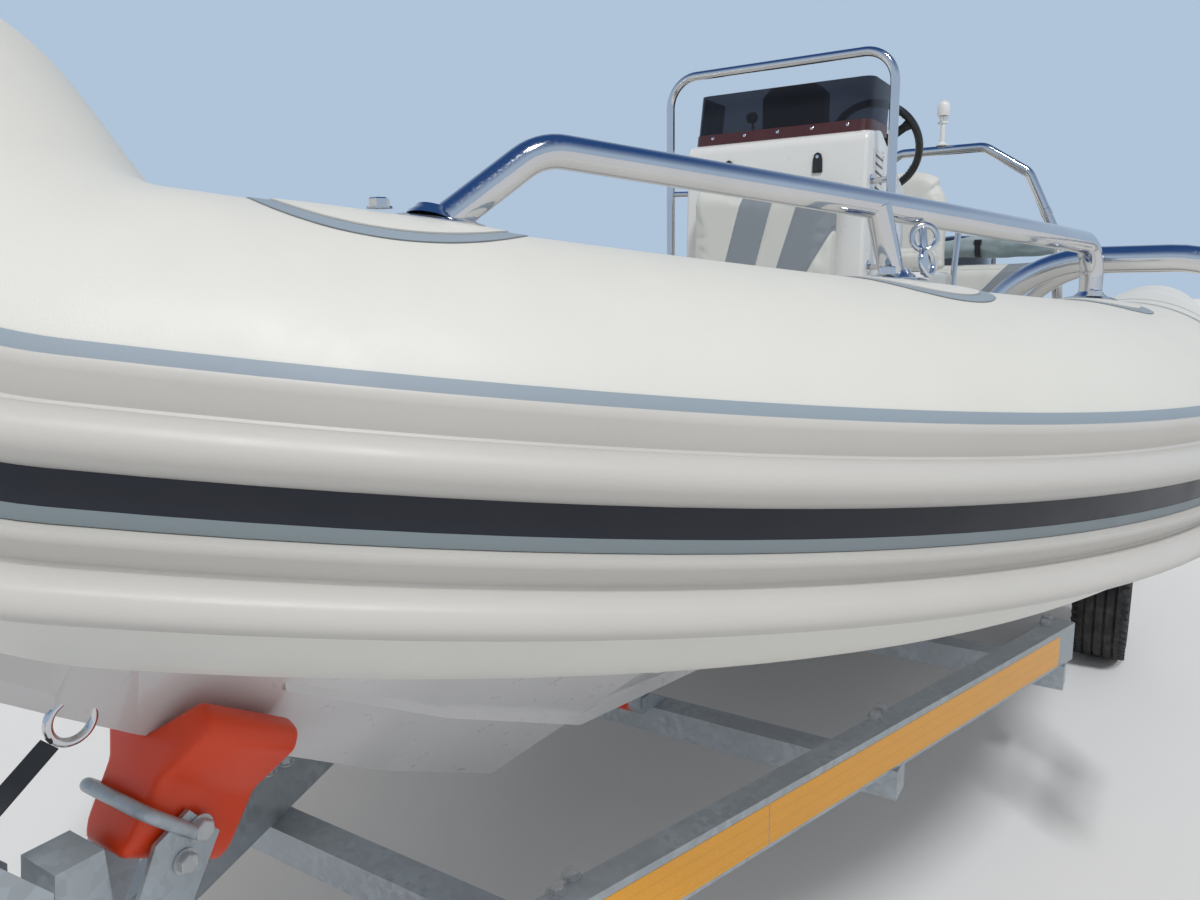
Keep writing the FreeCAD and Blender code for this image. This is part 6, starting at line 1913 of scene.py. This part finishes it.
class Running(bpy.types.Operator):
    """The coupler's lever, the jockey wheel, keel rollers, the bunks' carpet and the lamps"""
    bl_idname = "boat.running_gear"
    bl_label = "Coupler, jockey, rollers and lamps"

    def execute(self, context):
        wear("zinc", "coupler", "jockey_mast")
        low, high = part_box("coupler")
        bm = bmesh.new()
        side_slab(bm, [(high.x - BOW_X - 0.105 + along, high.z - AXIS_Z - 0.004 + rise) for along, rise in
                       ((-0.16, -0.004), (-0.05, 0.0), (0.020, -0.010), (0.022, -0.018), (-0.05, -0.010),
                        (-0.16, -0.014))], 0.014, 0.003, 2)
        settle(bm, "coupler_lever", "black")
        bm = bmesh.new()
        for along in (0.040, 0.095):
            for hand in (1, -1):
                hex_bolt(bm, (low.x + along, hand * 0.0358, (low.z + high.z) / 2), (0, hand, 0), 0.019, 0.007)
        settle(bm, "coupler_bolts", "bright_zinc")

        low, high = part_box("jockey_wheel")
        wide = (high.y - low.y) / 2
        for name, finish, slot, sides, half in (
                ("tyre", "tyre", "black_rubber", 64, [(-wide + 0.005, 0.030), (-wide + 0.005, 0.084),
                                                      (-wide + 0.009, 0.094), (-0.010, 0.0992)]),
                ("hub", "white", "white_plastic", 48, [(-wide, 0.0085), (-wide, 0.023), (-0.016, 0.026),
                                                       (-0.014, 0.060), (-0.018, 0.0625)])):
            bm = bmesh.new()
            outline = half + [(-across, reach) for across, reach in reversed(half)] + half[:1]
            turned(bm, outline, (low + high) / 2, (0, 1, 0), sides)
            settle(bm, f"jockey_{name}", finish, body="jockey_wheel", slot=slot,
                   replaces=("jockey_wheel",) if name == "tyre" else ())

        # Urethane rollers on the brackets.
        bm = bmesh.new()
        half = [(-0.0742, 0.0335), (-0.070, 0.0338), (-0.030, 0.0342)]
        for station in (SPREAD_AT + 0.040, 0.400, -2.990):
            stud(bm, half + [(-across, reach) for across, reach in reversed(half)],
                 at(station + 0.077, 0, KEEL - 0.0343), (0, 1, 0), 36)
        settle(bm, "keel_roller_sleeves", "urethane")

        bm = bmesh.new()
        rise = math.atan2(0.342, (HALF_BEAM - 0.212) * 0.88)
        for hand in (1, -1):
            across = vec(0, math.cos(rise) * hand, math.sin(rise))
            facing = vec(0, -math.sin(rise) * hand, math.cos(rise))
            base = at(-3.020, 0.430 * hand, KEEL + 0.430 * math.tan(rise)) - facing * 0.0465
            slab(bm, [base + across * a + facing * b for a, b in
                      ((-0.0558, 0), (0.0558, 0), (0.0558, 0.044), (-0.0558, 0.044))],
                 (2.001, 0, 0), 0.006, 3)
        settle(bm, "bunk_carpets", "carpet")

        low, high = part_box("light_board")
        wear("wheel", "light_board")
        for name, finish, side in (("stop_lamps", "red_lens", 0.72), ("turn_lamps", "amber_lens", 0.60),
                                   ("reverse_lamps", "white_lens", 0.50)):
            bm = bmesh.new()
            for hand in (1, -1):
                middle = vec(low.x, hand * side, (low.z + high.z) / 2)
                block(bm, middle + vec(0.0005, -0.050, -0.045), middle + vec(0.012, 0.050, 0.045), 0.006, 3)
            settle(bm, name, finish)
        return {"FINISHED"}


# Floor, light and camera.


class Stage(bpy.types.Operator):
    """The pale floor, the light all round, the key lamp and the camera"""
    bl_idname = "boat.stage"
    bl_label = "Studio and camera"

    def execute(self, context):
        studio = settings().studio
        scene = context.scene
        bm = bmesh.new()
        bmesh.ops.create_grid(bm, x_segments=2, y_segments=2, size=60)
        floor = new_piece(bm, "floor")
        mix = Mix("floor_paint", studio.floor, 0.9)
        floor.data.materials.append(mix.done(mix.cloudy(0.015, 0.6)))
        self.backdrop(scene, studio)

        key = bpy.data.lights.new("key", "SUN")
        key.energy = studio.sun
        key.angle = math.radians(9)
        lamp = bpy.data.objects.new("key", key)
        scene.collection.objects.link(lamp)
        lamp.rotation_euler = vec(-0.42, -0.40, -0.82).to_track_quat("-Z", "Y").to_euler()

        lens = bpy.data.cameras.new("camera")
        lens.lens = studio.lens
        lens.clip_end = 300
        camera = bpy.data.objects.new("camera", lens)
        scene.collection.objects.link(camera)
        camera.location = at(studio.eye_station, studio.eye_side, studio.eye_rise)
        level = math.cos(studio.pitch)
        look = vec(-math.cos(studio.heading) * level, -math.sin(studio.heading) * level,
                   -math.sin(studio.pitch))
        across = look.cross(vec(0, 0, 1)).normalized()
        upward = across.cross(look)
        right = across * math.cos(studio.roll) + upward * math.sin(studio.roll)
        top = upward * math.cos(studio.roll) - across * math.sin(studio.roll)
        camera.rotation_euler = Matrix((right, top, -look)).transposed().to_euler()
        scene.camera = camera
        scene.view_settings.view_transform = "Standard"
        return {"FINISHED"}

    def backdrop(self, scene, studio):
        """White light for diffuse rays. Other rays see a sky that deepens overhead."""
        scene.world = bpy.data.worlds.new("studio_light")
        scene.world.use_nodes = True
        tree = scene.world.node_tree
        tree.nodes.clear()
        seen, place, split, shades, soft, path, rays, clear, choose, out = [
            tree.nodes.new("ShaderNode" + kind) for kind in (
                "Background", "TexCoord", "SeparateXYZ", "ValToRGB", "Background", "LightPath", "Math",
                "Math", "MixShader", "OutputWorld")]
        stops = shades.color_ramp.elements
        stops[0].color = stops.new(0.35).color = (*studio.backdrop, 1)
        stops[-1].position, stops[-1].color = 0.85, (*studio.overhead, 1)
        soft.inputs["Color"].default_value = (1, 1, 1, 1)
        soft.inputs["Strength"].default_value = studio.fill
        rays.operation = clear.operation = "MAXIMUM"
        for start, end in ((place.outputs["Generated"], split.inputs[0]),
                           (split.outputs["Z"], shades.inputs["Fac"]),
                           (shades.outputs["Color"], seen.inputs["Color"]),
                           (path.outputs["Is Camera Ray"], rays.inputs[0]),
                           (path.outputs["Is Glossy Ray"], rays.inputs[1]),
                           (rays.outputs[0], clear.inputs[0]),
                           (path.outputs["Is Transmission Ray"], clear.inputs[1]),
                           (clear.outputs[0], choose.inputs["Fac"]), (soft.outputs[0], choose.inputs[1]),
                           (seen.outputs[0], choose.inputs[2]), (choose.outputs[0], out.inputs[0])):
            tree.links.new(end, start)


class BoatDressing(bpy.types.PropertyGroup):
    tube: PointerProperty(type=TubeSizes)
    steel: PointerProperty(type=StainlessSizes)
    seats: PointerProperty(type=SeatSizes)
    trailer: PointerProperty(type=TrailerSizes)
    finishes: PointerProperty(type=Finishes)
    studio: PointerProperty(type=Studio)


PIECES = (TubeSkins, Strakes, Tapes, RailPads, SprayRails, Deck, Handrails, Ladders, Arch, Console, Screen,
          Helm, Cushions, SeatFittings, Cover, Motor, Frame, Wheels, BowStand, Running, Stage)
GROUPS = (TubeSizes, StainlessSizes, SeatSizes, TrailerSizes, Finishes, Studio, BoatDressing)


class BoatPanel(bpy.types.Panel):
    bl_idname = "VIEW3D_PT_boat_dressing"
    bl_label = "Boat and trailer"
    bl_space_type = "VIEW_3D"
    bl_region_type = "UI"
    bl_category = "Boat"

    def draw(self, context):
        dressing = settings()
        for title in BoatDressing.__annotations__:
            box = self.layout.box()
            box.label(text=title.capitalize())
            group = getattr(dressing, title)
            for name in type(group).__annotations__:
                box.prop(group, name)
        column = self.layout.column(align=True)
        for piece in PIECES:
            column.operator(piece.bl_idname)


def register():
    for kind in (*GROUPS, *PIECES, BoatPanel):
        bpy.utils.register_class(kind)
    bpy.types.Scene.boat_dressing = PointerProperty(type=BoatDressing)


def unregister():
    del bpy.types.Scene.boat_dressing
    for kind in reversed((*GROUPS, *PIECES, BoatPanel)):
        bpy.utils.unregister_class(kind)


def main():
    register()
    FINISH.update(mix_finishes())
    for piece in PIECES:
        family, action = piece.bl_idname.split(".")
        getattr(getattr(bpy.ops, family), action)()


if __name__ == "__main__":
    main()
